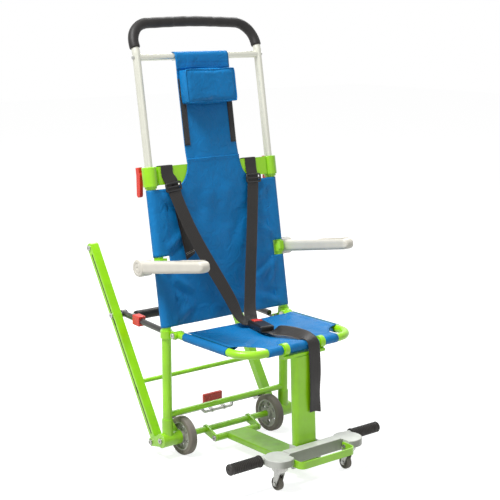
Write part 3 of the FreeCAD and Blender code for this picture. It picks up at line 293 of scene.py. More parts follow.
def coated_nylon(name, colour):
    """Coated woven nylon: strong blue with a faint wipe-clean shine and puckered threads, whose raised crowns carry a
    painted highlight.
    Real threads are about 0.5 mm apart; they are drawn at 2.6 mm so that they show."""
    material, tree, surface, coordinates = start_material(name, 0.52, Specular_IOR_Level=0.28)
    where = coordinates.outputs["Object"]
    weave = threads(tree, coordinates, 2.6, 2.6)
    faded = mixed(tree, blotches(tree, where, 90.0, 0.0, 1.0, 4.0), shade(colour, 0.9), shade(colour, 1.12))
    # painted highlight: the weave's raised threads are painted lighter; the slow fading is the cloth's own tone
    thread = add(tree, "ShaderNodeMapRange", {"Value": weave, "From Min": 0.2, "From Max": 1.8,
                                              "To Min": 0.0, "To Max": 0.22})
    faded_and_thread_highlight = mixed(tree, thread.outputs[0], faded, shade(colour, 1.2))
    tree.links.new(mixed(tree, scuffs(tree, where, 0.14), faded_and_thread_highlight, shade(colour, 0.7)), surface.inputs["Base Color"])
    tree.links.new(blotches(tree, where, 40.0, 0.42, 0.6), surface.inputs["Roughness"])
    crease = add(tree, "ShaderNodeTexNoise", {"Vector": where, "Scale": per(52.0), "Detail": 3.0, "Distortion": 1.6})
    lift = add(tree, "ShaderNodeMath", {0: crease.outputs["Fac"], 1: 26.0}, operation="MULTIPLY")
    height = add(tree, "ShaderNodeMath", {0: weave, 1: lift.outputs[0]}, operation="ADD")
    bumped(tree, surface, height.outputs[0], 0.45, 0.35)
    return material


def woven_webbing(name, colour):
    """Polyester webbing: dark brown-black with ridges along it and a herringbone across, and a silky shine from its
    gloss and from a painted highlight on the raised ribs.
    Ribs are 1.5 mm apart on the real one; they are drawn at 4 mm so that they show."""
    material, tree, surface, coordinates = start_material(name, 0.4, Specular_IOR_Level=0.36)
    where = coordinates.outputs["Object"]
    ribs = threads(tree, coordinates, 5.6, 4.0)
    tone = mixed(tree, blotches(tree, where, 60.0, 0.0, 1.0), shade(colour, 0.8), shade(colour, 1.3))
    # painted highlight: the raised ribs of the weave are painted lighter
    thread = add(tree, "ShaderNodeMapRange", {"Value": ribs, "From Min": 0.2, "From Max": 1.8,
                                              "To Min": 0.0, "To Max": 0.4})
    tree.links.new(mixed(tree, thread.outputs[0], tone, shade(colour, 2.0)), surface.inputs["Base Color"])
    tree.links.new(blotches(tree, where, 20.0, 0.30, 0.46), surface.inputs["Roughness"])
    bumped(tree, surface, ribs, 0.5, 0.4)
    return material


def hook_tape(name, colour):
    """Hook tape: matt black pile with short stiff loops."""
    material, tree, surface, coordinates = start_material(name, 0.9, Sheen_Weight=0.3)
    where = coordinates.outputs["Object"]
    loops = add(tree, "ShaderNodeTexVoronoi", {"Vector": where, "Scale": per(2.2)})
    tree.links.new(mixed(tree, loops.outputs["Distance"], shade(colour, 0.6), shade(colour, 1.8)),
                   surface.inputs["Base Color"])
    bumped(tree, surface, loops.outputs["Distance"], 0.8, 0.5)
    return material


def studio_floor(name):
    """Seamless white studio floor that keeps a soft shadow."""
    material = bpy.data.materials.new(name)
    material.use_nodes = True
    tree = material.node_tree
    tree.nodes.clear()
    rays = add(tree, "ShaderNodeLightPath")
    seen = add(tree, "ShaderNodeMath", {0: rays.outputs["Is Camera Ray"], 1: rays.outputs["Is Glossy Ray"]},
               operation="MAXIMUM")
    glow = add(tree, "ShaderNodeMath", {0: seen.outputs[0], 1: 0.80}, operation="MULTIPLY")
    paint = add(tree, "ShaderNodeBsdfDiffuse", {"Color": (0.52, 0.52, 0.52, 1.0)})
    light = add(tree, "ShaderNodeEmission", {"Color": (1.0, 1.0, 1.0, 1.0), "Strength": glow.outputs[0]})
    both = add(tree, "ShaderNodeAddShader", {0: paint.outputs[0], 1: light.outputs[0]})
    add(tree, "ShaderNodeOutputMaterial", {"Surface": both.outputs[0]})
    return material


def finishes(colours):
    """Every finish by its slot in the record, and the names of extra ones."""
    green = tuple(colours.green)
    return {
        "green_paint": powder_coat("Powder-coated steel, lime", green, 1.4, 0.12),
        "green_casting": powder_coat("Powder-coated casting, lime", shade(green, 0.94)[:3], 2.2, 0.3),
        "silver_tube": anodised("Satin anodised aluminium", tuple(colours.tube)),
        "zinc_steel": zinc_plate("Zinc-plated steel", linear("B9BAB6")),
        "blue_cloth": coated_nylon("Coated woven nylon, blue", tuple(colours.cloth)),
        "black_foam": foam_skin("Closed-cell foam sleeve", linear("1D1B1A")),
        "black_rubber": moulded("Moulded black rubber", linear("191615"), 0.55, 1.5, 0.2, 0.2),
        "ivory_plastic": moulded("Moulded ABS, ivory", tuple(colours.armrest), 0.42, 1.3, 0.08, 0.0, 0.03),
        # the second colour, 9CA094, is painted shade on the foot bar's faces towards the sitter's feet
        "grey_cast": moulded("Enamelled casting, light grey", linear("D3D6CE"), 0.38, 2.0, 0.12, 0.3, 0.04,
                             linear("9CA094")),
        "wheel_grey": moulded("Moulded nylon hub, grey", linear("B4B4AA"), 0.5, 1.2, 0.1, 0.35),
        "tyre_grey": moulded("Non-marking rubber tyre, grey", linear("7E776E"), 0.72, 1.8, 0.25, 0.4),
        "red_plastic": moulded("Glossy moulded ABS, red", tuple(colours.release), 0.24, 1.6, 0.05, 0.0, 0.05),
        "black_plastic": moulded("Moulded acetal, black", linear("1A1919"), 0.38, 1.2, 0.06, 0.1),
        "webbing": woven_webbing("Woven polyester webbing", linear("1E1B19")),
        "black_paint": powder_coat("Powder-coated steel, black", linear("2C2A29"), 1.8, 0.25),
        "castor_tread": moulded("Moulded castor tread, dark grey", linear("6E6A62"), 0.6, 1.5, 0.15, 0.3),
        "hook_tape": hook_tape("Woven hook tape, black", linear("1E1D1D")),
        "thread_blue": moulded("Bonded thread, dark blue", linear("114C86"), 0.7, 1.0, 0.1, 0.0),
        "thread_white": moulded("Bonded thread, white", linear("D9D6CC"), 0.7, 1.0, 0.1, 0.0),
    }


FINISH = {}


def finish(slot):
    """The material of a slot; all are made at the first call."""
    if not FINISH:
        FINISH.update(finishes(bpy.context.scene.stair_chair_colours))
    return FINISH[slot]


# ---- meshes ------------------------------------------------------------------------------------
def new_piece(name, points, faces, slot, uvs=None, sharp=None):
    """Mesh object at the origin with the given faces and one finish."""
    mesh = bpy.data.meshes.new(name)
    mesh.from_pydata(points, [], faces)
    if uvs:
        layer = mesh.uv_layers.new(name="UVMap")
        for loop in mesh.loops:
            layer.data[loop.index].uv = uvs[loop.vertex_index]
    mesh.polygons.foreach_set("use_smooth", [True] * len(mesh.polygons))
    if sharp is not None:
        mesh.set_sharp_from_angle(angle=math.radians(sharp))
    mesh.materials.append(finish(slot))
    mesh.update()
    piece = bpy.data.objects.new(name, mesh)
    bpy.context.scene.collection.objects.link(piece)
    return piece


def settle(piece):
    """Turns the piece's modifiers into its plain mesh."""
    graph = bpy.context.evaluated_depsgraph_get()
    mesh = bpy.data.meshes.new_from_object(piece.evaluated_get(graph))
    piece.modifiers.clear()
    piece.data = mesh
    return piece


def welded(piece, flip_check=None):
    """Merges doubles, drops loose points and points every face outwards."""
    work = bmesh.new()
    work.from_mesh(piece.data)
    bmesh.ops.remove_doubles(work, verts=work.verts, dist=0.00002)
    loose = [vertex for vertex in work.verts if not vertex.link_faces]
    bmesh.ops.delete(work, geom=loose, context="VERTS")
    bmesh.ops.recalc_face_normals(work, faces=work.faces)
    if flip_check is not None:
        total = sum((face.normal * face.calc_area() for face in work.faces), Vector())
        if total.dot(flip_check) < 0:
            bmesh.ops.reverse_faces(work, faces=work.faces)
    work.to_mesh(piece.data)
    work.free()
    return piece


def thickened(piece, thick):
    """Gives a cloth surface its thickness, half each way."""
    skin = piece.modifiers.new("Thickness", "SOLIDIFY")
    skin.thickness = thick * MM
    skin.offset = 0.0
    skin.use_even_offset = False
    return settle(piece)


def lattice(rows, uv_rows, keep=None):
    """Points, faces and UVs of a grid of points; keep says which cells stay."""
    wide = len(rows[0])
    points = [point for row in rows for point in row]
    uvs = [uv for row in uv_rows for uv in row]
    faces = []
    for i in range(len(rows) - 1):
        for j in range(wide - 1):
            if keep is None or keep(i, j):
                corner = i * wide + j
                faces.append((corner, corner + 1, corner + wide + 1, corner + wide))
    return points, faces, uvs


def joined_lattices(parts):
    """Several lattices as one list of points, faces and UVs."""
    points, faces, uvs = [], [], []
    for part_points, part_faces, part_uvs in parts:
        offset = len(points)
        points += part_points
        uvs += part_uvs
        faces += [tuple(index + offset for index in face) for face in part_faces]
    return points, faces, uvs


def eased(points, step):
    """Smooth curve through points, sampled about every step millimetres."""
    padded = [points[0] * 2 - points[1]] + points + [points[-1] * 2 - points[-2]]
    found = []
    for a, b, c, d in zip(padded, padded[1:], padded[2:], padded[3:]):
        count = max(2, int((c - b).length / (step * MM)))
        for place in range(count):
            t = place / count
            found.append(0.5 * (2 * b + (c - a) * t + (2 * a - 5 * b + 4 * c - d) * t * t
                                + (3 * b - a - 3 * c + d) * t ** 3))
    return found + [points[-1]]


def rounded_path(corners, radii, step):
    """Straight runs joined by tangent arcs, as sampled points in the same units."""
    found = [corners[0]]
    for before, corner, after, radius in zip(corners, corners[1:], corners[2:], radii):
        way_in = (corner - before).normalized()
        way_out = (after - corner).normalized()
        turn = way_in.angle(way_out)
        setback = radius * math.tan(turn / 2)
        middle = corner + (way_out - way_in).normalized() * (radius / math.cos(turn / 2))
        first = corner - way_in * setback
        swing = first - middle
        axis = way_in.cross(way_out).normalized()
        count = max(3, int(radius * turn / step))
        found += [middle + Matrix.Rotation(turn * place / count, 3, axis) @ swing for place in range(count + 1)]
    found.append(corners[-1])
    return found


def swept(path, radii, sides, up=Vector((0, 0, 1)), closed=False):
    """Points and faces of a round bar along a path; radii may change along it. Ends are capped."""
    points, faces, uvs = [], [], []
    length = 0.0
    side = None
    for place, centre in enumerate(path):
        before = path[place - 1] if place or closed else path[0]
        after = path[(place + 1) % len(path)] if place + 1 < len(path) or closed else path[-1]
        along = (after - before).normalized()
        if side is None:
            side = along.cross(up)
        side = (side - along * side.dot(along)).normalized()
        lift = along.cross(side)
        length += (centre - path[max(place - 1, 0)]).length
        for step in range(sides):
            turn = math.tau * step / sides
            points.append(centre + (side * math.cos(turn) + lift * math.sin(turn)) * radii[place])
            uvs.append((turn * radii[place], length))
    rings = len(path)
    for ring in range(rings if closed else rings - 1):
        here, there = ring * sides, (ring + 1) % rings * sides
        for step in range(sides):
            following = (step + 1) % sides
            faces.append((here + step, here + following, there + following, there + step))
    if not closed:
        faces.append(tuple(range(sides - 1, -1, -1)))
        faces.append(tuple(range((rings - 1) * sides, rings * sides)))
    return points, faces, uvs


def turned(profile, centre, sides=48):
    """Points and faces of a shape turned about an X line through centre; profile is (x, radius)."""
    points, faces, uvs = [], [], []
    for x, radius in profile:
        for step in range(sides):
            turn = math.tau * step / sides
            points.append(Vector((x, centre.y + radius * MM * math.cos(turn), centre.z + radius * MM * math.sin(turn))))
            uvs.append((radius * MM * turn, x))
    rings = len(profile)
    for ring in range(rings - 1):
        for step in range(sides):
            following = (step + 1) % sides
            faces.append((ring * sides + step, ring * sides + following,
                          (ring + 1) * sides + following, (ring + 1) * sides + step))
    faces.append(tuple(range(sides - 1, -1, -1)))
    faces.append(tuple(range((rings - 1) * sides, rings * sides)))
    return points, faces, uvs


def ribbon(points, looks, width, thick, slant=0.0):
    """Flat webbing with rounded selvedges through centre points; looks says which way it faces at each.
    slant cuts its last end at an angle, by that many millimetres."""
    line = eased(points, 7.0)
    marks = eased([look.normalized() * MM for look in looks], 1000.0)
    last = len(line) - 1
    across = [-0.5, -0.47, -0.40, -0.2, 0.0, 0.2, 0.40, 0.47, 0.5]
    rise = [0.0, 0.38, 0.5, 0.44, 0.5, 0.44, 0.5, 0.38, 0.0]
    outline = list(zip(across, rise)) + [(a, -r) for a, r in list(zip(across, rise))[-2:0:-1]]
    knots = [0.0]
    for before, after in zip(points, points[1:]):
        knots.append(knots[-1] + max(2, int((after - before).length / (7.0 * MM))))
    rows, uv_rows = [], []
    length = 0.0
    for place, centre in enumerate(line):
        before, after = line[max(place - 1, 0)], line[min(place + 1, last)]
        along = (after - before).normalized()
        segment = next((n for n in range(len(knots) - 1) if place < knots[n + 1]), len(knots) - 2)
        share = min((place - knots[segment]) / (knots[segment + 1] - knots[segment]), 1.0)
        look = looks[segment].normalized().lerp(looks[segment + 1].normalized(), smooth_step(share))
        face = (look - along * look.dot(along)).normalized()
        side = along.cross(face)
        length += (centre - line[max(place - 1, 0)]).length
        cut = slant * MM if place == last else 0.0
        rows.append([centre + side * (a * width * MM) + face * (r * thick * MM) + along * (cut * (a + 0.5))
                     for a, r in outline])
        uv_rows.append([(a * width * MM, length) for a, _ in outline])
    del marks
    wide = len(outline)
    flat_points = [point for row in rows for point in row]
    uvs = [uv for row in uv_rows for uv in row]
    faces = []
    for i in range(len(rows) - 1):
        for j in range(wide):
            k = (j + 1) % wide
            faces.append((i * wide + j, i * wide + k, (i + 1) * wide + k, (i + 1) * wide + j))
    faces.append(tuple(range(wide - 1, -1, -1)))
    faces.append(tuple(range((len(rows) - 1) * wide, len(rows) * wide)))
    return flat_points, faces, uvs


def stitched(tree_name):
    """Geometry Nodes tree that sets small shapes along curves, squared to the row's X axis."""
    tree = bpy.data.node_groups.get(tree_name)
    if tree:
        return tree
    tree = bpy.data.node_groups.new(tree_name, "GeometryNodeTree")
    for label, kind in (("Lines", "NodeSocketGeometry"), ("Pitch", "NodeSocketFloat"), ("Along", "NodeSocketFloat"),
                        ("Across", "NodeSocketFloat"), ("Height", "NodeSocketFloat"),
                        ("Finish", "NodeSocketMaterial")):
        tree.interface.new_socket(label, in_out="INPUT", socket_type=kind)
    tree.interface.new_socket("Shapes", in_out="OUTPUT", socket_type="NodeSocketGeometry")
    given = tree.nodes.new("NodeGroupInput").outputs
    points = add(tree, "GeometryNodeResampleCurve", {"Curve": given["Lines"], "Length": given["Pitch"]}, mode="LENGTH")
    size = add(tree, "ShaderNodeCombineXYZ", {"X": given["Along"], "Y": given["Across"], "Z": given["Height"]})
    if tree_name.endswith("beads"):
        shape = add(tree, "GeometryNodeMeshUVSphere", {"Segments": 6, "Rings": 4, "Radius": 0.5})
        sized = add(tree, "GeometryNodeTransform", {"Geometry": shape.outputs["Mesh"], "Scale": size.outputs[0]})
    else:
        shape = add(tree, "GeometryNodeMeshCube", {"Size": (1.0, 1.0, 1.0)})
        sized = add(tree, "GeometryNodeTransform", {"Geometry": shape.outputs["Mesh"], "Scale": size.outputs[0]})
    tangent = add(tree, "GeometryNodeInputTangent")
    first = add(tree, "FunctionNodeAlignRotationToVector", {"Vector": tangent.outputs[0]}, axis="X")
    second = add(tree, "FunctionNodeAlignRotationToVector", {"Rotation": first.outputs[0], "Vector": (1.0, 0.0, 0.0)},
                 axis="Y", pivot_axis="X")
    placed = add(tree, "GeometryNodeInstanceOnPoints", {"Points": points.outputs[0], "Instance": sized.outputs[0],
                                                        "Rotation": second.outputs[0]})
    real = add(tree, "GeometryNodeRealizeInstances", {"Geometry": placed.outputs[0]})
    painted = add(tree, "GeometryNodeSetMaterial", {"Geometry": real.outputs[0], "Material": given["Finish"]})
    result = tree.nodes.new("NodeGroupOutput")
    tree.links.new(painted.outputs[0], result.inputs["Shapes"])
    return tree


def along_lines(name, lines, pitch, size, slot, shape="beads"):
    """Small shapes every pitch millimetres along lines, as one plain mesh piece."""
    curve = bpy.data.curves.new(name, "CURVE")
    curve.dimensions = "3D"
    for line in lines:
        spline = curve.splines.new("POLY")
        spline.points.add(len(line) - 1)
        for place, point in enumerate(line):
            spline.points[place].co = (*point, 1.0)
    holder = bpy.data.objects.new(name + "_lines", curve)
    bpy.context.scene.collection.objects.link(holder)
    maker = holder.modifiers.new("Along lines", "NODES")
    maker.node_group = stitched("Row of " + shape)
    values = {"Pitch": pitch * MM, "Along": size[0] * MM, "Across": size[1] * MM, "Height": size[2] * MM,
              "Finish": finish(slot)}
    for item in maker.node_group.interface.items_tree:
        if item.name in values:
            maker[item.identifier] = values[item.name]
    graph = bpy.context.evaluated_depsgraph_get()
    mesh = bpy.data.meshes.new_from_object(holder.evaluated_get(graph))
    bpy.data.objects.remove(holder)
    mesh.polygons.foreach_set("use_smooth", [shape == "beads"] * len(mesh.polygons))
    piece = bpy.data.objects.new(name, mesh)
    bpy.context.scene.collection.objects.link(piece)
    return piece


# ---- the cloth's shape -------------------------------------------------------------------------
# Creases of the back: from (x, along) to (x, along), height, width.
BACK_CREASES = [
    (-214, 160, -118, 92, 3.4, 12), (-214, 244, -112, 306, 2.6, 13), (-212, 148, -150, 42, 2.2, 10),
    (-222, 16, -124, 66, 2.8, 14), (214, 160, 122, 100, 3.0, 12), (214, 244, 118, 312, 2.4, 13),
    (222, 14, 112, 58, 2.6, 13), (212, 150, 160, 60, 2.0, 10), (-222, 424, -130, 364, 2.4, 15),
    (222, 424, 140, 352, 2.2, 15), (-70, 24, 90, 66, 1.6, 24), (-150, 350, -60, 190, 1.4, 22),
    (132, 330, 60, 190, 1.4, 22), (-30, 424, -52, 250, 1.3, 26), (40, 430, 30, 300, 1.1, 24),
]
SEAT_CREASES = [
    (-210, -90, -110, -160, 2.0, 13), (210, -90, 116, -170, 2.0, 13), (-172, -292, -90, -240, 2.4, 12),
    (172, -292, 96, -238, 2.2, 12), (-140, -350, -60, -290, 1.8, 12), (140, -350, 64, -296, 1.8, 12),
    (-208, -200, -120, -205, 1.2, 16), (208, -210, 130, -205, 1.2, 16), (-30, -90, 40, -120, 1.2, 20),
]


def crease_height(u, v, creases):
    """Height of all creases at a place on the cloth, in millimetres, above or below its plane."""
    total = 0.0
    for u0, v0, u1, v1, high, wide in creases:
        run = math.hypot(u1 - u0, v1 - v0)
        along = ((u - u0) * (u1 - u0) + (v - v0) * (v1 - v0)) / run
        off = ((u - u0) * (v1 - v0) - (v - v0) * (u1 - u0)) / run
        reach = smooth_step(along / run * 4 + 0.4) * smooth_step((run - along) / run * 2)
        total += high * reach * (math.exp(-(off / wide) ** 2) - 0.8 * math.exp(-((off - 1.6 * wide) / wide) ** 2))
    return total


def back_lift(x, along):
    """How far the back's cloth lies behind its flat plane."""
    cut_row = CUT_FROM <= along <= CUT_TO
    hold = 1.0 if cut_row else smooth_step((224 - abs(x)) / 26)
    sag = 6.0 * (1 - (x / 224) ** 2) * smooth_step((SLING_TO - along) / 90)
    ripple = 1.3 * noise.noise(Vector((x / 85, along / 110, 3.1)))
    free = 0.15 + 0.85 * smooth_step((SLING_TO + 4 - along) / 40)
    return hold * (sag - free * (crease_height(x, along, BACK_CREASES) * 2.3 - ripple) - 0.4)


def head_lift(x, along):
    """Soft upright waves of the head panel, behind its plane."""
    free = smooth_step((along - 512) / 60) * smooth_step((820 - along) / 70)
    return free * (1.6 + 1.4 * math.sin(x / 15.5 + along / 95) + 1.0 * math.sin(x / 32 - along / 60 + 1.0))


def tube_wrap(radius, centre_x):
    """Side of a sleeve round a back tube, from the panel's edge outwards, under and to its hem."""
    arc = [(centre_x + radius * math.cos(math.radians(turn)), radius * math.sin(math.radians(turn)))
           for turn in range(-90, 191, 20)]
    return arc + [(centre_x - 18.5, -6.0), (centre_x - 28, -13.4), (centre_x - 44, -13.8)]


class StairChairSizes(bpy.types.PropertyGroup):
    """Sizes of the soft goods that a user would change."""
    cloth_thickness: FloatProperty(name="Cloth thickness", description="Coated nylon, in millimetres",
                                   default=1.5, min=0.5, max=2.4)
    webbing_thickness: FloatProperty(name="Webbing thickness", description="Woven webbing, in millimetres",
                                     default=2.0, min=1.0, max=2.5)
    strap_width: FloatProperty(name="Strap width", description="Shoulder webbing, in millimetres",
                               default=45.0, min=25.0, max=50.0)
    pillow_pressure: FloatProperty(name="Pillow filling", description="Pressure that swells the pillow's cover",
                                   default=4.0, min=0.0, max=8.0)
    pillow_limit: FloatProperty(name="Pillow swell", description="Furthest that the cover may move, in millimetres",
                                default=4.0, min=0.0, max=12.0)
    pillow_fill: FloatProperty(name="Pillow fullness", description="0 is slack and 1 is tight",
                               default=0.8, min=0.0, max=1.0, subtype="FACTOR")
    stitch_pitch: FloatProperty(name="Stitch pitch", description="From one stitch to the next, in millimetres",
                                default=6.0, min=3.0, max=12.0)
    belt_teeth: FloatProperty(name="Belt tooth pitch", description="Between the track belt's teeth, in millimetres",
                              default=12.0, min=6.0, max=24.0)
    grip_sides: IntProperty(name="Grip smoothness", description="Faces round each hand grip",
                            default=40, min=16, max=96)


class StairChairColours(bpy.types.PropertyGroup):
    """Colours that a user would change."""
    green: FloatVectorProperty(name="Frame", description="Powder coat of the frame", subtype="COLOR",
                               default=linear("9CE200"))
    cloth: FloatVectorProperty(name="Cloth", description="Seat, back and headrest cloth", subtype="COLOR",
                               default=linear("0474B4"))
    tube: FloatVectorProperty(name="Push handle", description="Anodised handle tube", subtype="COLOR",
                              default=linear("DCDCCF"))
    armrest: FloatVectorProperty(name="Armrests", description="Moulded armrests", subtype="COLOR",
                                 default=linear("D8D4C8"))
    release: FloatVectorProperty(name="Releases", description="Latches, pedal, collars and buckle button",
                                 subtype="COLOR", default=linear("DE3A2A"))


class STAIRCHAIR_OT_stage(bpy.types.Operator):
    """Floor, lamps, world and camera"""
    bl_idname = "stairchair.stage"
    bl_label = "Set the stage"

    def execute(self, context):
        scene = context.scene
        scene.view_settings.view_transform = "Standard"
        mesh = bpy.data.meshes.new("floor")
        edge = 14.0
        mesh.from_pydata([(-edge, -edge, 0), (edge, -edge, 0), (edge, edge, 0), (-edge, edge, 0)], [], [(0, 1, 2, 3)])
        mesh.materials.append(studio_floor("Studio floor, white"))
        floor = bpy.data.objects.new("floor", mesh)
        scene.collection.objects.link(floor)

        world = bpy.data.worlds.new("Studio")
        world.use_nodes = True
        tree = world.node_tree
        tree.nodes.clear()
        rays = add(tree, "ShaderNodeLightPath")
        seen = add(tree, "ShaderNodeMath", {0: rays.outputs["Is Camera Ray"], 1: rays.outputs["Is Glossy Ray"]},
                   operation="MAXIMUM")
        strength = add(tree, "ShaderNodeMapRange", {"Value": seen.outputs[0], "To Min": 0.36, "To Max": 1.0})
        sky = add(tree, "ShaderNodeBackground", {"Color": (1.0, 1.0, 1.0, 1.0), "Strength": strength.outputs[0]})
        add(tree, "ShaderNodeOutputWorld", {"Surface": sky.outputs[0]})
        scene.world = world

        for name, place, power, size in (("Key", (-1.9, -0.1, 4.0), 175.0, 1.2), ("Front", (-0.6, -3.4, 2.0), 10.0, 2.4),
                                         ("Rim", (1.9, 1.6, 3.0), 50.0, 1.6)):
            lamp = bpy.data.lights.new(name, "AREA")
            lamp.energy = power
            lamp.size = size
            holder = bpy.data.objects.new(name, lamp)
            holder.location = place
            holder.rotation_euler = (Vector((0.0, 0.0, 0.6)) - Vector(place)).to_track_quat("-Z", "Y").to_euler()
            scene.collection.objects.link(holder)

        lens = bpy.data.cameras.new("Camera")
        lens.lens = 87.62
        lens.sensor_width = 36.0
        camera = bpy.data.objects.new("Camera", lens)
        eye = Vector((-2.34774, -3.01349 + AXLE * MM, 1.40040))
        aim = Vector((0.05745, -0.04657 + AXLE * MM, 0.64425))
        camera.location = eye
        camera.rotation_euler = (aim - eye).to_track_quat("-Z", "Y").to_euler()
        scene.collection.objects.link(camera)
        scene.camera = camera
        return {"FINISHED"}


class STAIRCHAIR_OT_finishes(bpy.types.Operator):
    """Gives every frame node the finish of its slot"""
    bl_idname = "stairchair.finishes"
    bl_label = "Finish the frame"

    def execute(self, context):
        for node in frame["nodes"].values():
            slot = node.data.materials[0].name.split(".")[0]
            node.data.materials.clear()
            node.data.materials.append(finish("castor_tread" if node.name.startswith("castor_wheel") else slot))
        return {"FINISHED"}


class STAIRCHAIR_OT_back_sling(bpy.types.Operator):
    """Cloth across the back tubes, sleeved round them, with its neck and hem stitches"""
    bl_idname = "stairchair.back_sling"
    bl_label = "Hang the back cloth"

    def execute(self, context):
        sizes = context.scene.stair_chair_sizes
        plane = -TUBE_R - 0.6 - sizes.cloth_thickness / 2
        wrap = tube_wrap(-plane, TUBE_X)
        inner = span(0.0, SHOULDER_X, 24)
        panel_x = inner + [174, 183, 192, 201, CUT_X, 217, 224, 232]
        half = [(x, plane) for x in panel_x] + wrap
        cross = [(-x, b) for x, b in reversed(half[1:])] + half
        alongs = span(SLING_FROM, CUT_FROM, 27) + span(CUT_FROM, CUT_TO, 13)[1:] + span(CUT_TO, SLING_TO, 33)[1:]
        edge = len(half) - 1
        widths = [0.0]
        for (x0, b0), (x1, b1) in zip(half, half[1:]):
            widths.append(widths[-1] + math.hypot(x1 - x0, b1 - b0))
        across = [-w for w in reversed(widths[1:])] + widths
        last_panel = len(panel_x)

        def lifted(column, x, b, along):
            return b + back_lift(x, along) if abs(column - edge) < last_panel else b

        rows = [[lean(x, lifted(j, x, b, s), s) for j, (x, b) in enumerate(cross)] for s in alongs]
        uv_rows = [[(w * MM, s * MM) for w in across] for s in alongs]
        cut_column = panel_x.index(CUT_X)

        def keep(i, j):
            inside = CUT_FROM - 0.1 < (alongs[i] + alongs[i + 1]) / 2 < CUT_TO + 0.1
            beyond = abs(j + 0.5 - edge) > cut_column
            return not (inside and beyond)

        main = lattice(rows, uv_rows, keep)
        neck_alongs = span(SLING_TO, NECK_TOP + 7, 20)

        def neck_half(along):
            rise = min((along - SLING_TO) / (NECK_TOP - SLING_TO), 1.0)
            return NECK_X + (SHOULDER_X - NECK_X) * (1 - math.sqrt(max(0.0, 1 - (1 - rise) ** 2)))

        neck_cross = [-x for x in reversed(inner[1:])] + inner
        neck_rows, neck_uvs = [], []
        for along in neck_alongs:
            share = neck_half(along) / SHOULDER_X
            neck_rows.append([lean(x * share, plane + back_lift(x * share, along), along) for x in neck_cross])
            neck_uvs.append([(x * share * MM, along * MM) for x in neck_cross])
        neck = lattice(neck_rows, neck_uvs)
        piece = new_piece("back_cloth", *joined_lattices([main, neck])[:2], "blue_cloth",
                          joined_lattices([main, neck])[2])
        welded(piece, Vector((0, -1, 0.17)))
        thickened(piece, sizes.cloth_thickness)
        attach(piece, "frame")
        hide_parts("back_sling")

        front = plane - sizes.cloth_thickness / 2 - 0.25

        def line(spots):
            return [lean(x, front + back_lift(x, s), s) for x, s in spots]
        lines = []
        for side in (-1, 1):
            for x in (side * 205, side * 200):
                lines.append(line([(x, s) for s in span(SLING_FROM + 4, CUT_FROM - 5, 40)]))
                lines.append(line([(x, s) for s in span(CUT_TO + 5, SLING_TO - 4, 46)]))
            lines.append(line([(side * x, CUT_TO + 6) for x in span(206, 226, 5)]))
            lines.append(line([(side * x, CUT_FROM - 6) for x in span(206, 226, 5)]))
            lines.append(line([(side * (neck_half(s) - 6), s) for s in span(SLING_TO + 6, NECK_TOP, 20)]))
            lines.append(line([(side * x, SLING_TO - 7) for x in span(SHOULDER_X, 224, 10)]))
        lines.append(line([(x, SLING_FROM + 7) for x in span(-222, 222, 70)]))
        for s in (NECK_TOP - 4, NECK_TOP + 2):
            lines.append(line([(x, s) for x in span(-NECK_X + 4, NECK_X - 4, 30)]))
        stitches = along_lines("back_stitches", lines, sizes.stitch_pitch, (3.6, 1.1, 0.8), "thread_blue")
        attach(stitches, "frame")
        return {"FINISHED"}


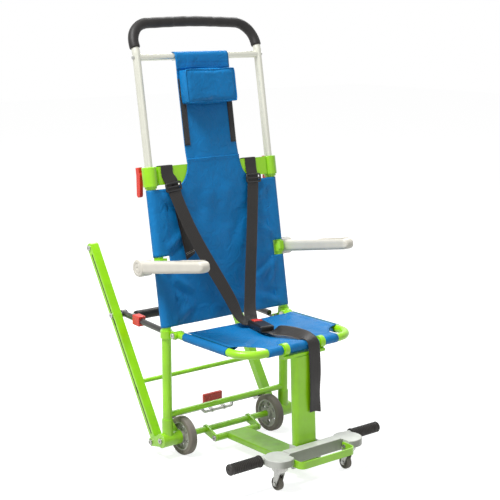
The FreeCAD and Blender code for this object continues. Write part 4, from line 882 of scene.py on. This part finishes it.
class STAIRCHAIR_OT_headrest(bpy.types.Operator):
    """Head panel over the crossbar, its lapped flap and the hook tapes on its edges"""
    bl_idname = "stairchair.headrest"
    bl_label = "Hang the head panel"

    def execute(self, context):
        sizes = context.scene.stair_chair_sizes
        thick = sizes.cloth_thickness
        plane = -CROSSBAR_R - 0.7 - thick / 2
        neck_plane = -TUBE_R - 0.6 + thick / 2 + 0.3
        columns = span(-NECK_X, NECK_X, 35)
        path = [(neck_plane + (plane - neck_plane) * smooth_step((s - 506) / 40), s)
                for s in span(506, CROSSBAR_AT - 6, 56)]
        path += [(-plane * math.cos(math.radians(turn)), CROSSBAR_AT - plane * math.sin(math.radians(turn)))
                 for turn in range(180, -61, -12)]
        rows = [[lean(x, b + head_lift(x, s), s) for x in columns] for b, s in path]
        runs = [0.0]
        for (b0, s0), (b1, s1) in zip(path, path[1:]):
            runs.append(runs[-1] + math.hypot(b1 - b0, s1 - s0))
        uv_rows = [[(x * MM, run * MM) for x in columns] for run in runs]
        points, faces, uvs = lattice(rows, uv_rows)
        panel = new_piece("head_cloth", points, faces, "blue_cloth", uvs)
        thickened(welded(panel), thick)
        flap_r = -plane + thick + 0.2
        flap_path = [(flap_r * math.cos(math.radians(turn)), CROSSBAR_AT + flap_r * math.sin(math.radians(turn)))
                     for turn in range(70, 181, 11)]
        flap_path += [(-flap_r, s) for s in span(CROSSBAR_AT - 5, CROSSBAR_AT - 42, 8)]
        flap_rows = [[lean(x * 1.01, b + min(head_lift(x, s - 22), 0.8), s - (1.5 * math.sin(x / 24) if s < 815 else 0))
                      for x in columns] for b, s in flap_path]
        flap_uvs = [[(x * MM, place * 0.004) for x in columns] for place in range(len(flap_path))]
        points, faces, uvs = lattice(flap_rows, flap_uvs)
        flap = new_piece("head_flap", points, faces, "blue_cloth", uvs)
        thickened(welded(flap), thick)
        seams = [[lean(x, -flap_r - thick / 2 - 0.2, CROSSBAR_AT - low) for x in span(-100, 100, 30)]
                 for low in (20, 31)]
        edge = -thick / 2 - 0.3
        for side in (-1, 1):
            seams.append([lean(side * (NECK_X - 4), b + head_lift(side * (NECK_X - 4), s) + edge, s)
                          for b, s in path[28:54]])
        seam = along_lines("head_stitches", seams, sizes.stitch_pitch, (3.6, 1.1, 0.8), "thread_blue")
        tapes = []
        for name, side in (("left", 1), ("right", -1)):
            xs = [side * x for x in span(NECK_X - 24, NECK_X - 1, 6)]
            tape_rows = [[lean(x, b + head_lift(x, s) - thick - 0.2, s) for x in xs] for b, s in path[9:45]]
            tape_uvs = [[(x * MM, s * MM) for x in xs] for b, s in path[9:45]]
            points, faces, uvs = lattice(tape_rows, tape_uvs)
            tape = new_piece("hook_tape_" + name, points, faces, "hook_tape", uvs)
            thickened(welded(tape), 1.2)
            tapes.append(tape)
        for piece, slot in ((panel, "blue_cloth"), (flap, "blue_cloth"), (seam, "blue_cloth"),
                            (tapes[0], "webbing"), (tapes[1], "webbing")):
            lean(0, plane, 516)
            lean(0, plane, CROSSBAR_AT - 20)
            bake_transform(piece)
        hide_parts("head_panel")
        return {"FINISHED"}


class STAIRCHAIR_OT_pillow(bpy.types.Operator):
    """Box pillow of the headrest, swelled by a cloth simulation, with piped edges"""
    bl_idname = "stairchair.pillow"
    bl_label = "Fill the pillow"

    def execute(self, context):
        sizes = context.scene.stair_chair_sizes
        half, low, high, rear, front = 97.0, 689.5, 794.5, -14.8, -47.5
        counts = (34, 19, 6)

        def spot(i, j, k):
            """Grid place on the box: i across, j up, k from the rear forwards; the corners are eased."""
            x = -half + 2 * half * i / counts[0]
            s = low + (high - low) * j / counts[1]
            b = rear + (front - rear) * k / counts[2]
            middle = Vector((0, (low + high) / 2, 0))
            pull = 1 - 0.03 * (abs(x) / half) ** 6 * (abs(s - middle.y) / (middle.y - low)) ** 6
            return x * pull, b, middle.y + (s - middle.y) * pull
        index, flat = {}, []

        def vertex(i, j, k):
            if (i, j, k) not in index:
                index[(i, j, k)] = len(flat)
                flat.append(spot(i, j, k))
            return index[(i, j, k)]
        faces = []
        nx, ny, nz = counts
        for i in range(nx):
            for j in range(ny):
                for k in (0, nz):
                    faces.append([vertex(i, j, k), vertex(i + 1, j, k), vertex(i + 1, j + 1, k), vertex(i, j + 1, k)])
        for k in range(nz):
            for i in range(nx):
                for j in (0, ny):
                    faces.append([vertex(i, j, k), vertex(i + 1, j, k), vertex(i + 1, j, k + 1), vertex(i, j, k + 1)])
            for j in range(ny):
                for i in (0, nx):
                    faces.append([vertex(i, j, k), vertex(i, j + 1, k), vertex(i, j + 1, k + 1), vertex(i, j, k + 1)])
        points = [lean(x, b, s) for x, b, s in flat]
        uvs = [(x * MM, (s - b) * MM) for x, b, s in flat]
        pillow = new_piece("head_pillow_cover", points, faces, "blue_cloth", uvs)
        work = bmesh.new()
        work.from_mesh(pillow.data)
        bmesh.ops.recalc_face_normals(work, faces=work.faces)
        work.to_mesh(pillow.data)
        work.free()
        start = [vertex.co.copy() for vertex in pillow.data.vertices]
        out = (lean(0, -1, 0) - lean(0, 0, 0)).normalized()
        self.swell(context, pillow, flat, sizes.pillow_pressure)
        limit = sizes.pillow_limit * MM
        for vertex, before in zip(pillow.data.vertices, start):
            move = vertex.co - before
            if move.length > limit:
                vertex.co = before + move * (limit / move.length)
        corners = {place: key for key, place in index.items()}
        loops = []
        for k in (nz, 0):
            ring = ([(i, 0, k) for i in range(nx)] + [(nx, j, k) for j in range(ny)]
                    + [(i, ny, k) for i in range(nx, 0, -1)] + [(0, j, k) for j in range(ny, 0, -1)])
            loops.append([pillow.data.vertices[index[key]].co.copy() for key in ring])
        firm = pillow.data.attributes.new("crease_edge", "FLOAT", "EDGE")
        for edge in pillow.data.edges:
            keys = [corners[place] for place in edge.vertices]
            shared = sum(all(key[axis] == limit for key in keys) for axis, top in enumerate(counts) for limit in (0, top))
            firm.data[edge.index].value = 0.8 if shared > 1 else 0.0
        soften = pillow.modifiers.new("Smoother", "SUBSURF")
        soften.levels = soften.render_levels = 1
        settle(pillow)
        parts = []
        for place, loop in enumerate(loops):
            radius = (2.1 if place == 0 else 1.3) * MM
            shift = out * (0.0004 if place == 0 else 0.0006)
            parts.append(swept([point + shift for point in loop], [radius] * len(loop), 8, closed=True))
        points, faces, uvs = joined_lattices(parts)
        piping = welded(new_piece("head_pillow_piping", points, faces, "blue_cloth", uvs))
        for piece in (pillow, piping):
            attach(piece, "push_handle")
        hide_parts("head_pillow")
        return {"FINISHED"}

    def swell(self, context, pillow, flat, pressure):
        """Runs the cloth simulation on the cover and keeps its result as the mesh."""
        held = pillow.vertex_groups.new(name="rear")
        held.add([place for place, (x, b, s) in enumerate(flat) if b > -15.0], 1.0, "REPLACE")
        cover = pillow.modifiers.new("Cover", "CLOTH")
        cover.settings.quality = 6
        cover.settings.mass = 0.3
        cover.settings.tension_stiffness = 18
        cover.settings.compression_stiffness = 18
        cover.settings.bending_stiffness = 0.8
        cover.settings.use_pressure = True
        cover.settings.uniform_pressure_force = pressure
        cover.settings.vertex_group_mass = "rear"
        cover.settings.effector_weights.gravity = 0.0
        for frame_number in range(1, 21):
            context.scene.frame_set(frame_number)
        settle(pillow)
        context.scene.frame_set(1)


class STAIRCHAIR_OT_seat_sling(bpy.types.Operator):
    """Cloth over the seat's bent tube, sleeved on three sides and cut away at the front corners"""
    bl_idname = "stairchair.seat_sling"
    bl_label = "Stretch the seat cloth"

    def execute(self, context):
        sizes = context.scene.stair_chair_sizes
        thick = sizes.cloth_thickness
        radius = SEAT_R + 0.2 + thick / 2
        notch_x = SEAT_X - NOTCH
        ear = (59.0, 83.0)
        inner = [0, 12, 24, 36, 48, ear[0], 67, 75, ear[1], 93, 104, 115, 126, notch_x]
        outer = [SEAT_X - NOTCH * math.cos(math.radians(turn)) for turn in range(8, 91, 6)]
        half = inner + outer
        xs = [-x for x in reversed(half[1:])] + half
        edge = len(half) - 1

        def front_limit(x):
            beyond = NOTCH ** 2 - (SEAT_X - abs(x)) ** 2
            return SEAT_FRONT + (math.sqrt(max(beyond, 0.0)) if abs(x) > notch_x else 0.0)

        def drop(x, y):
            hold = smooth_step((SEAT_X - 6 - abs(x)) / 24) * smooth_step((y - SEAT_FRONT - 4) / 24)
            slack = 2.4 * (1 - (x / SEAT_X) ** 2) + 0.8 + 0.7 * noise.noise(Vector((x / 70, y / 60, 8.0)))
            return hold * max(0.0, slack - crease_height(x, y, SEAT_CREASES) * 1.4)

        shares = span(0.0, 1.0, 40)
        rows = []
        uv_rows = []
        for share in shares:
            ys = [front_limit(x) + (SEAT_REAR - front_limit(x)) * share for x in xs]
            rows.append([at(x, y, SEAT_Z + radius - drop(x, y)) for x, y in zip(xs, ys)])
            uv_rows.append([(x * MM, y * MM) for x, y in zip(xs, ys)])
        top = lattice(rows, uv_rows)
        parts = [top]
        turns = list(range(90, -111, -18))
        for side in (-1, 1):
            ys = [SEAT_FRONT + NOTCH + (SEAT_REAR - SEAT_FRONT - NOTCH) * share for share in shares]
            ring = [(SEAT_X + radius * math.cos(math.radians(t)), SEAT_Z + radius * math.sin(math.radians(t)))
                    for t in turns] + [(SEAT_X - 15, SEAT_Z - 9), (SEAT_X - 21, SEAT_Z + 4), (SEAT_X - 34, SEAT_Z + radius - 5)]
            side_rows = [[at(side * x, y, z) for x, z in ring] for y in ys]
            side_uvs = [[(side * (SEAT_X + place * 0.0045 / MM) * MM, y * MM) for place in range(len(ring))] for y in ys]
            parts.append(lattice(side_rows, side_uvs))
        front_xs = [x for x in xs if abs(x) <= notch_x + 0.01]
        ring = [(SEAT_FRONT + radius * math.cos(math.radians(t)), SEAT_Z + radius * math.sin(math.radians(t)))
                for t in range(90, 397, 18)]
        front_rows = [[at(x, y, z) for x in front_xs] for y, z in ring]
        front_uvs = [[(x * MM, (SEAT_FRONT - place * 4.5) * MM) for x in front_xs] for place in range(len(ring))]

        def beside_ears(i, j):
            middle = abs((front_xs[j] + front_xs[j + 1]) / 2)
            return not ear[0] < middle < ear[1]
        parts.append(lattice(front_rows, front_uvs, beside_ears))
        ear_rows = {j for j in range(len(xs) - 1) if ear[0] < abs((xs[j] + xs[j + 1]) / 2) < ear[1]}
        parts[0] = lattice(rows, uv_rows, lambda i, j: not (j in ear_rows and i < 3))
        points, faces, uvs = joined_lattices(parts)
        piece = welded(new_piece("seat_cloth", points, faces, "blue_cloth", uvs), Vector((0, 0, 1)))
        thickened(piece, thick)
        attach(piece, "seat")
        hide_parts("seat_sling")

        high = SEAT_Z + radius + thick / 2 + 0.2

        def line(spots):
            return [at(x, y, high - drop(x, y)) for x, y in spots]
        lines = []
        for side in (-1, 1):
            for x in (side * 194, side * 189):
                lines.append(line([(x, y) for y in span(front_limit(x) + 6, SEAT_REAR - 5, 50)]))
            lines.append(line([(side * x, front_limit(x) + 6) for x in span(notch_x + 4, SEAT_X - 4, 30)]))
            lines.append(line([(side * x, SEAT_FRONT + 22) for x in span(ear[1] + 3, notch_x - 3, 12)]))
        lines.append(line([(x, SEAT_FRONT + 22) for x in span(-ear[0] + 3, ear[0] - 3, 20)]))
        lines.append(line([(x, SEAT_REAR - 7) for x in span(-212, 212, 60)]))
        stitches = along_lines("seat_stitches", lines, sizes.stitch_pitch, (3.6, 1.1, 0.8), "thread_blue")
        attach(stitches, "seat")
        return {"FINISHED"}


def strap_spot(x, along, behind):
    """Point of a strap, measured up the lean from the handle sockets' lower ends."""
    return lean(x, behind, 443.0 + along)


FORWARD = Vector((0, -1, 0.17))
UPWARD = Vector((0, -0.5, 0.86))


def shoulder_route(side):
    """Centre points and facings of one shoulder strap, from behind the cross plate to the buckle."""
    if side < 0:
        top_x, adjuster_x, shift = -184, -172, Vector((-20, -12, 0)) * MM
        chest, lap = at(-62, -80, 527), at(-30, -108, 446)
    else:
        top_x, adjuster_x, shift = 149, 146, Vector((8, 8, 0)) * MM
        chest, lap = at(47, -60, 507), at(12, -106, 446)
    plane = -PLATE_FRONT - 1.7
    route = [strap_spot(top_x, 34, 11.6), strap_spot(top_x, 55, 11.6), strap_spot(top_x, 60.9, 8),
             strap_spot(top_x, 60.9, -12), strap_spot(top_x, 57, plane), strap_spot(top_x, 30, plane),
             strap_spot(adjuster_x, 2.5, -22.8), strap_spot(adjuster_x, -16, -23.4)]
    end = at(-5, -125, 438) if side < 0 else at(6, -124, 434)
    route += [route[-1] + (chest - route[-1]) * 0.43 + shift, chest, lap, end]
    back, over = -FORWARD, Vector((0, 0.17, 1))
    looks = [back, back, over, over] + [FORWARD] * 5 + [Vector((0, -1, 0.3)), UPWARD, UPWARD]
    return route, looks


def measured(points):
    return sum((b - a).length for a, b in zip(points, points[1:]))


class STAIRCHAIR_OT_harness(bpy.types.Operator):
    """Shoulder straps, their adjusters and loose tail, and the strap that hangs from the buckle"""
    bl_idname = "stairchair.harness"
    bl_label = "Fit the harness"

    def execute(self, context):
        sizes = context.scene.stair_chair_sizes
        thick = sizes.webbing_thickness
        for name, side, still in (("right", -1, 0.32), ("left", 1, 0.2)):
            route, looks = shoulder_route(side)
            points, faces, uvs = ribbon(route, looks, sizes.strap_width, thick)
            strap = new_piece("shoulder_strap_" + name, points, faces, "webbing", uvs, sharp=50)
            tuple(route[-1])
            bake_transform(strap)
            measured(route)
        route = [strap_spot(-163, -17, -20.6), strap_spot(-160, -30, -20.4), strap_spot(-150, -106.7, -20.4),
                 strap_spot(-141, -166, -21.4), strap_spot(-132, -225.2, -20.0)]
        points, faces, uvs = ribbon(route, [FORWARD] * 5, 38.0, thick, slant=12.0)
        tail = new_piece("strap_tail", points, faces, "webbing", uvs, sharp=50)
        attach(tail, "frame")
        measured(route)
        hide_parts("shoulder_straps")
        seams = [[strap_spot(x, low + (x + 132) * 0.30, -21.6) for x in span(-149, -116, 8)] for low in (-214, -219)]
        white = along_lines("tail_stitches", seams, 3.0, (2.2, 1.0, 0.8), "thread_white")
        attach(white, "frame")

        top = SEAT_Z + SEAT_R + 2.7 + 2.0
        route = [at(-23, -233.4, top + 2), at(-25, -247, top + 6), at(-14, -275, top + 13), at(8, -308, top + 12),
                 at(26, -340, top + 6), at(30, SEAT_FRONT, top + 2.5), at(30, SEAT_FRONT - 15, SEAT_Z + 12),
                 at(30, SEAT_FRONT - 22, SEAT_Z - 8), at(31, SEAT_FRONT - 27, SEAT_Z - 80),
                 at(29, SEAT_FRONT - 29, SEAT_Z - 150), at(30, SEAT_FRONT - 30, 196)]
        up, out = Vector((0, 0, 1)), Vector((0, -1, 0))
        tilt = Vector((-0.45, -0.35, 1))
        looks = [up, up, tilt, tilt, tilt, Vector((-0.1, -0.3, 1)), Vector((0, -1, 0.6)), out, out,
                 Vector((0.12, -1, 0)), out]
        points, faces, uvs = ribbon(route, looks, sizes.strap_width, thick, slant=-14.0)
        lap = new_piece("lap_strap_webbing", points, faces, "webbing", uvs, sharp=50)
        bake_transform(lap)
        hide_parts("lap_strap")
        measured(route)

        parts = []
        for x, tilt in ((-173.0, -6.0), (147.0, 2.0)):
            centre = Vector((x, 0.0, 436.0))
            turn = Matrix.Rotation(math.radians(tilt), 3, "Y")

            def frame_spot(across, up_it, front, turn=turn, centre=centre):
                moved = turn @ Vector((across, 0, up_it)) + centre
                return lean(moved.x, front, moved.z)
            corners = [(-28, -12), (28, -12), (28, 12), (-28, 12)]
            loop = [frame_spot(cx + 4 * math.cos(math.radians(a)) * (1 if cx > 0 else 1), cz + 4 * math.sin(math.radians(a)), -26.6)
                    for (cx, cz), first in zip([(c[0] - math.copysign(4, c[0]), c[1] - math.copysign(4, c[1])) for c in corners],
                                               (180, 270, 0, 90)) for a in range(first, first + 91, 30)]
            parts.append(swept(loop, [3.1 * MM] * len(loop), 10, closed=True))
            parts.append(swept([frame_spot(-27, 0, -27.4), frame_spot(27, 0, -27.4)], [3.0 * MM] * 2, 12))
        points, faces, uvs = joined_lattices(parts)
        adjusters = welded(new_piece("strap_slides", points, faces, "black_plastic", uvs, sharp=50))
        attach(adjusters, "frame")
        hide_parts("strap_adjusters")
        return {"FINISHED"}


class STAIRCHAIR_OT_grips(bpy.types.Operator):
    """Foam sleeves of the push and carrying handles, and the ribbed grips of the foot bar"""
    bl_idname = "stairchair.grips"
    bl_label = "Slide on the grips"

    def execute(self, context):
        sides = context.scene.stair_chair_sizes.grip_sides
        kink, corner = Vector((TUBE_X, 0, 860)), Vector((TUBE_X, 24, 947))
        start = kink + (corner - kink) * 0.115
        local = [start, corner, Vector((0, 24, 956)), Vector((-TUBE_X, 24, 947)), Vector((-start.x, start.y, start.z))]
        path = rounded_path(local, [70.0, 2400.0, 70.0], 9.0)
        row = [lean(p.x, p.y, p.z) for p in eased([point * 1.0 for point in path], 4000.0)]
        radii = [(16.4 + 0.25 * math.sin(place * 0.55)) * MM for place in range(len(row))]
        radii[0] = radii[-1] = 14.6 * MM
        first, last = (row[1] - row[0]).normalized(), (row[-2] - row[-1]).normalized()
        row = [row[0], row[0] + first * 0.0022] + row[1:-1] + [row[-1] + last * 0.0022, row[-1]]
        radii = [radii[0], 16.4 * MM] + radii[1:-1] + [16.4 * MM, radii[-1]]
        points, faces, uvs = swept(row, radii, sides)
        push = welded(new_piece("push_grip", points, faces, "black_foam", uvs, sharp=40))
        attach(push, "push_handle")
        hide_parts("handle_grip")

        low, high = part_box("rear_grip")
        middle = (low + high) / 2
        reach = high.x
        radius = (high.z - low.z) / 2 / MM
        profile = [(-reach, radius - 4), (-reach + 0.001, radius - 1.2), (-reach + 0.004, radius)]
        profile += [(x, radius - 0.25 + 0.25 * math.sin(x * 60)) for x in span(-reach + 0.012, reach - 0.012, 60)]
        profile += [(reach - 0.004, radius), (reach - 0.001, radius - 1.2), (reach, radius - 4)]
        points, faces, uvs = turned(profile, middle, sides)
        carry = welded(new_piece("carrying_grip", points, faces, "black_foam", uvs, sharp=40))
        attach(carry, "rear_handle")
        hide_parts("rear_grip")

        low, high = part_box("foot_grips")
        inside, outside = 184.0, high.x / MM
        profile = [(inside, 12.0), (inside, 18.0), (inside + 1.5, 18.6), (inside + 4, 18.6), (inside + 5, 16.0)]
        x = inside + 7
        while x < outside - 14:
            profile += [(x, 15.0), (x + 1.2, 16.9), (x + 3.8, 17.1), (x + 5.0, 15.0)]
            x += 6.4
        profile += [(outside - 9, 15.2), (outside - 8, 17.0), (outside - 3, 17.2), (outside - 0.8, 15.6),
                    (outside, 12.5), (outside - 0.6, 6.0), (outside - 2.4, 4.4), (outside - 2.6, 0.6)]
        for name, side in (("left", 1), ("right", -1)):
            shape = [(side * at_x * MM, r) for at_x, r in profile]
            points, faces, uvs = turned(shape, at(0, GRIP_Y, GRIP_Z), sides)
            grip = welded(new_piece("foot_grip_" + name, points, faces, "black_rubber", uvs, sharp=35))
            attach(grip, "leg")
        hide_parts("foot_grips")
        return {"FINISHED"}


class STAIRCHAIR_OT_belts(bpy.types.Operator):
    """Toothed belts that run in the two rails"""
    bl_idname = "stairchair.belts"
    bl_label = "Lay the belts"

    def execute(self, context):
        pitch = context.scene.stair_chair_sizes.belt_teeth
        inner, outer, half = 9.2, 11.2, 9.5
        rest = [(0.0, turn) for turn in range(180, 361, 15)] + [(TRACK_LENGTH, turn) for turn in range(0, 181, 15)]

        def loop(radius):
            return [(radius * math.cos(math.radians(turn)), base + radius * math.sin(math.radians(turn)))
                    for base, turn in rest]
        parts, lines = [], []
        for side in (-1, 1):
            x0, x1 = side * TUBE_X - half, side * TUBE_X + half
            ring = []
            for (ri, si), (ro, so) in zip(loop(inner), loop(outer)):
                ring.append([on_track(x0, ri, si), on_track(x1, ri, si), on_track(x1, ro, so), on_track(x0, ro, so)])
            count = len(ring)
            points = [point for row in ring for point in row]
            faces = [((i * 4 + j), (i * 4 + (j + 1) % 4), ((i + 1) % count * 4 + (j + 1) % 4), ((i + 1) % count * 4 + j))
                     for i in range(count) for j in range(4)]
            uvs = [(j * 0.005, i * 0.01) for i in range(count) for j in range(4)]
            parts.append((points, faces, uvs))
            outside = loop(outer + 0.3)
            lines.append([on_track(side * TUBE_X, r, s) for r, s in outside + outside[:1]])
        points, faces, uvs = joined_lattices(parts)
        belts = welded(new_piece("belt_loops", points, faces, "black_rubber", uvs, sharp=30))
        trims = []
        section = [(252.7, -4.9), (254.9, -4.9), (254.9, -5.7), (255.3, -5.9), (255.6, -5.2), (255.7, -3.5),
                   (255.6, -1.8), (255.3, -1.1), (254.9, -1.3), (254.9, -2.1), (252.7, -2.1)]
        for side in (-1, 1):
            rows = []
            for s in span(26.0, TRACK_LENGTH - 26.0, 90):
                waver = 0.25 * math.sin(s / 23.0)
                rows.append([on_track(side * x, rear + waver, s) for x, rear in section + section[:1]])
            points, faces, uvs = lattice(rows, [[(place * MM, 0.0) for place in range(len(row))] for row in rows])
            ring = len(section) + 1
            faces += [tuple(range(ring - 1)), tuple(range((len(rows) - 1) * ring, len(rows) * ring - 1))]
            trims.append((points, faces, uvs))
        points, faces, uvs = joined_lattices(trims)
        trim = welded(new_piece("rail_trims", points, faces, "black_rubber", uvs, sharp=50))
        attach(trim, "tracks")
        teeth = along_lines("belt_teeth", lines, pitch, (5.0, 18.0, 1.2), "black_rubber", "blocks")
        for piece in (belts, teeth):
            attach(piece, "tracks")
        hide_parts("track_belts")
        return {"FINISHED"}


class STAIRCHAIR_OT_armrests(bpy.types.Operator):
    """Moulded armrests with a cap over the pivot, a seam line and ribs near the tip"""
    bl_idname = "stairchair.armrests"
    bl_label = "Mould the armrests"

    def execute(self, context):
        for name, side in (("left", 1), ("right", -1)):
            low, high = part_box("armrest_" + name)
            inner, outer = 265.0, 307.0
            middle_x, half_x = (inner + outer) / 2, (outer - inner) / 2
            rows, uv_rows = [], []
            places = [21.0 - 310.0 * share for share in (0.0, 0.04, 0.08, 0.14, 0.22, 0.32, 0.44, 0.56, 0.68, 0.78, 0.86,
                                                         0.92, 0.96, 1.0)]
            places += [-289.0 - 17.8 * math.sin(math.radians(turn)) for turn in (20, 38, 54, 68, 79, 87)]
            for b in places:
                share = (21.0 - b) / 310.0
                tall = 19.6 - 1.8 * min(share, 1.0)
                wide = half_x - 0.2
                if b < -289.0:
                    nose = math.sqrt(max(0.0, 1 - ((-289.0 - b) / 18.0) ** 2))
                    tall *= max(nose, 0.06)
                    wide *= 0.45 + 0.55 * max(nose, 0.05)
                row = []
                for turn in range(0, 360, 15):
                    c, s = math.cos(math.radians(turn)), math.sin(math.radians(turn))
                    px = math.copysign(abs(c) ** 0.42, c) * wide
                    pz = math.copysign(abs(s) ** 0.62, s) * tall
                    seam = 0.7 if turn in (0, 180) else 0.0
                    row.append(lean(side * (middle_x + px - math.copysign(seam, px)), b, 198.0 + pz))
                rows.append(row)
                uv_rows.append([(turn * 0.0004, b * MM) for turn in range(0, 360, 15)])
            wide_count = len(rows[0])
            points = [point for row in rows for point in row]
            uvs = [uv for row in uv_rows for uv in row]
            faces = [(i * wide_count + j, i * wide_count + (j + 1) % wide_count,
                      (i + 1) * wide_count + (j + 1) % wide_count, (i + 1) * wide_count + j)
                     for i in range(len(rows) - 1) for j in range(wide_count)]
            faces += [tuple(range(wide_count)), tuple(range((len(rows) - 1) * wide_count, len(rows) * wide_count))]
            bar = welded(new_piece("armrest_bar_" + name, points, faces, "ivory_plastic", uvs))
            soften = bar.modifiers.new("Smoother", "SUBSURF")
            soften.levels = soften.render_levels = 1
            settle(bar)
            profile = [(inner, 24.0), (inner, 26.6), (inner + 1.5, 28.0), (outer - 8, 28.0), (outer - 7.4, 27.2),
                       (outer - 6.6, 27.2), (outer - 6, 28.0), (outer - 3.0, 27.6), (outer + 0.6, 26.0), (outer + 1.9, 22.8),
                       (outer + 2.0, 17.5), (outer + 1.0, 16.8), (outer + 0.9, 15.4), (outer + 1.9, 14.7),
                       (outer + 2.0, 5.0), (outer + 0.4, 3.8), (outer + 0.3, 0.4)]
            pivot = lean(0, 21.0, 198.0)
            points, faces, uvs = turned([(side * x * MM, r) for x, r in profile], pivot, 56)
            cap = welded(new_piece("armrest_cap_" + name, points, faces, "ivory_plastic", uvs, sharp=40))
            top = 198.0 + 18.3
            rib_line = [[lean(side * middle_x, b, top + 0.2) for b in span(-176.0, -284.0, 12)]]
            ribs = along_lines("armrest_ribs_" + name, rib_line, 8.0, (3.2, 31.0, 1.7), "ivory_plastic", "blocks")
            edge = ribs.modifiers.new("Rounded", "BEVEL")
            edge.width = 0.0006
            edge.segments = 2
            settle(ribs)
            for piece in (bar, cap, ribs):
                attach(piece, "armrest_" + name)
            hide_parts("armrest_" + name)
        return {"FINISHED"}


class STAIRCHAIR_PT_panel(bpy.types.Panel):
    """Lists the steps that make the chair's looks"""
    bl_label = "Stair Chair"
    bl_idname = "STAIRCHAIR_PT_panel"
    bl_space_type = "VIEW_3D"
    bl_region_type = "UI"
    bl_category = "Stair Chair"

    def draw(self, context):
        for group in (context.scene.stair_chair_sizes, context.scene.stair_chair_colours):
            for name in group.__annotations__:
                self.layout.prop(group, name)
        for step in STEPS:
            self.layout.operator("stairchair." + step)


STEPS = ("stage", "finishes", "back_sling", "headrest", "pillow", "seat_sling", "harness", "grips", "belts", "armrests")
CLASSES = (StairChairSizes, StairChairColours, STAIRCHAIR_OT_stage, STAIRCHAIR_OT_finishes,
           STAIRCHAIR_OT_back_sling, STAIRCHAIR_OT_headrest, STAIRCHAIR_OT_pillow, STAIRCHAIR_OT_seat_sling,
           STAIRCHAIR_OT_harness, STAIRCHAIR_OT_grips, STAIRCHAIR_OT_belts, STAIRCHAIR_OT_armrests,
           STAIRCHAIR_PT_panel)


def register():
    for each in CLASSES:
        bpy.utils.register_class(each)
    bpy.types.Scene.stair_chair_sizes = PointerProperty(type=StairChairSizes)
    bpy.types.Scene.stair_chair_colours = PointerProperty(type=StairChairColours)


def unregister():
    del bpy.types.Scene.stair_chair_colours
    del bpy.types.Scene.stair_chair_sizes
    for each in reversed(CLASSES):
        bpy.utils.unregister_class(each)


def main():
    register()
    for step in STEPS:
        getattr(bpy.ops.stairchair, step)()
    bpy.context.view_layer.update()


if __name__ == "__main__":
    main()
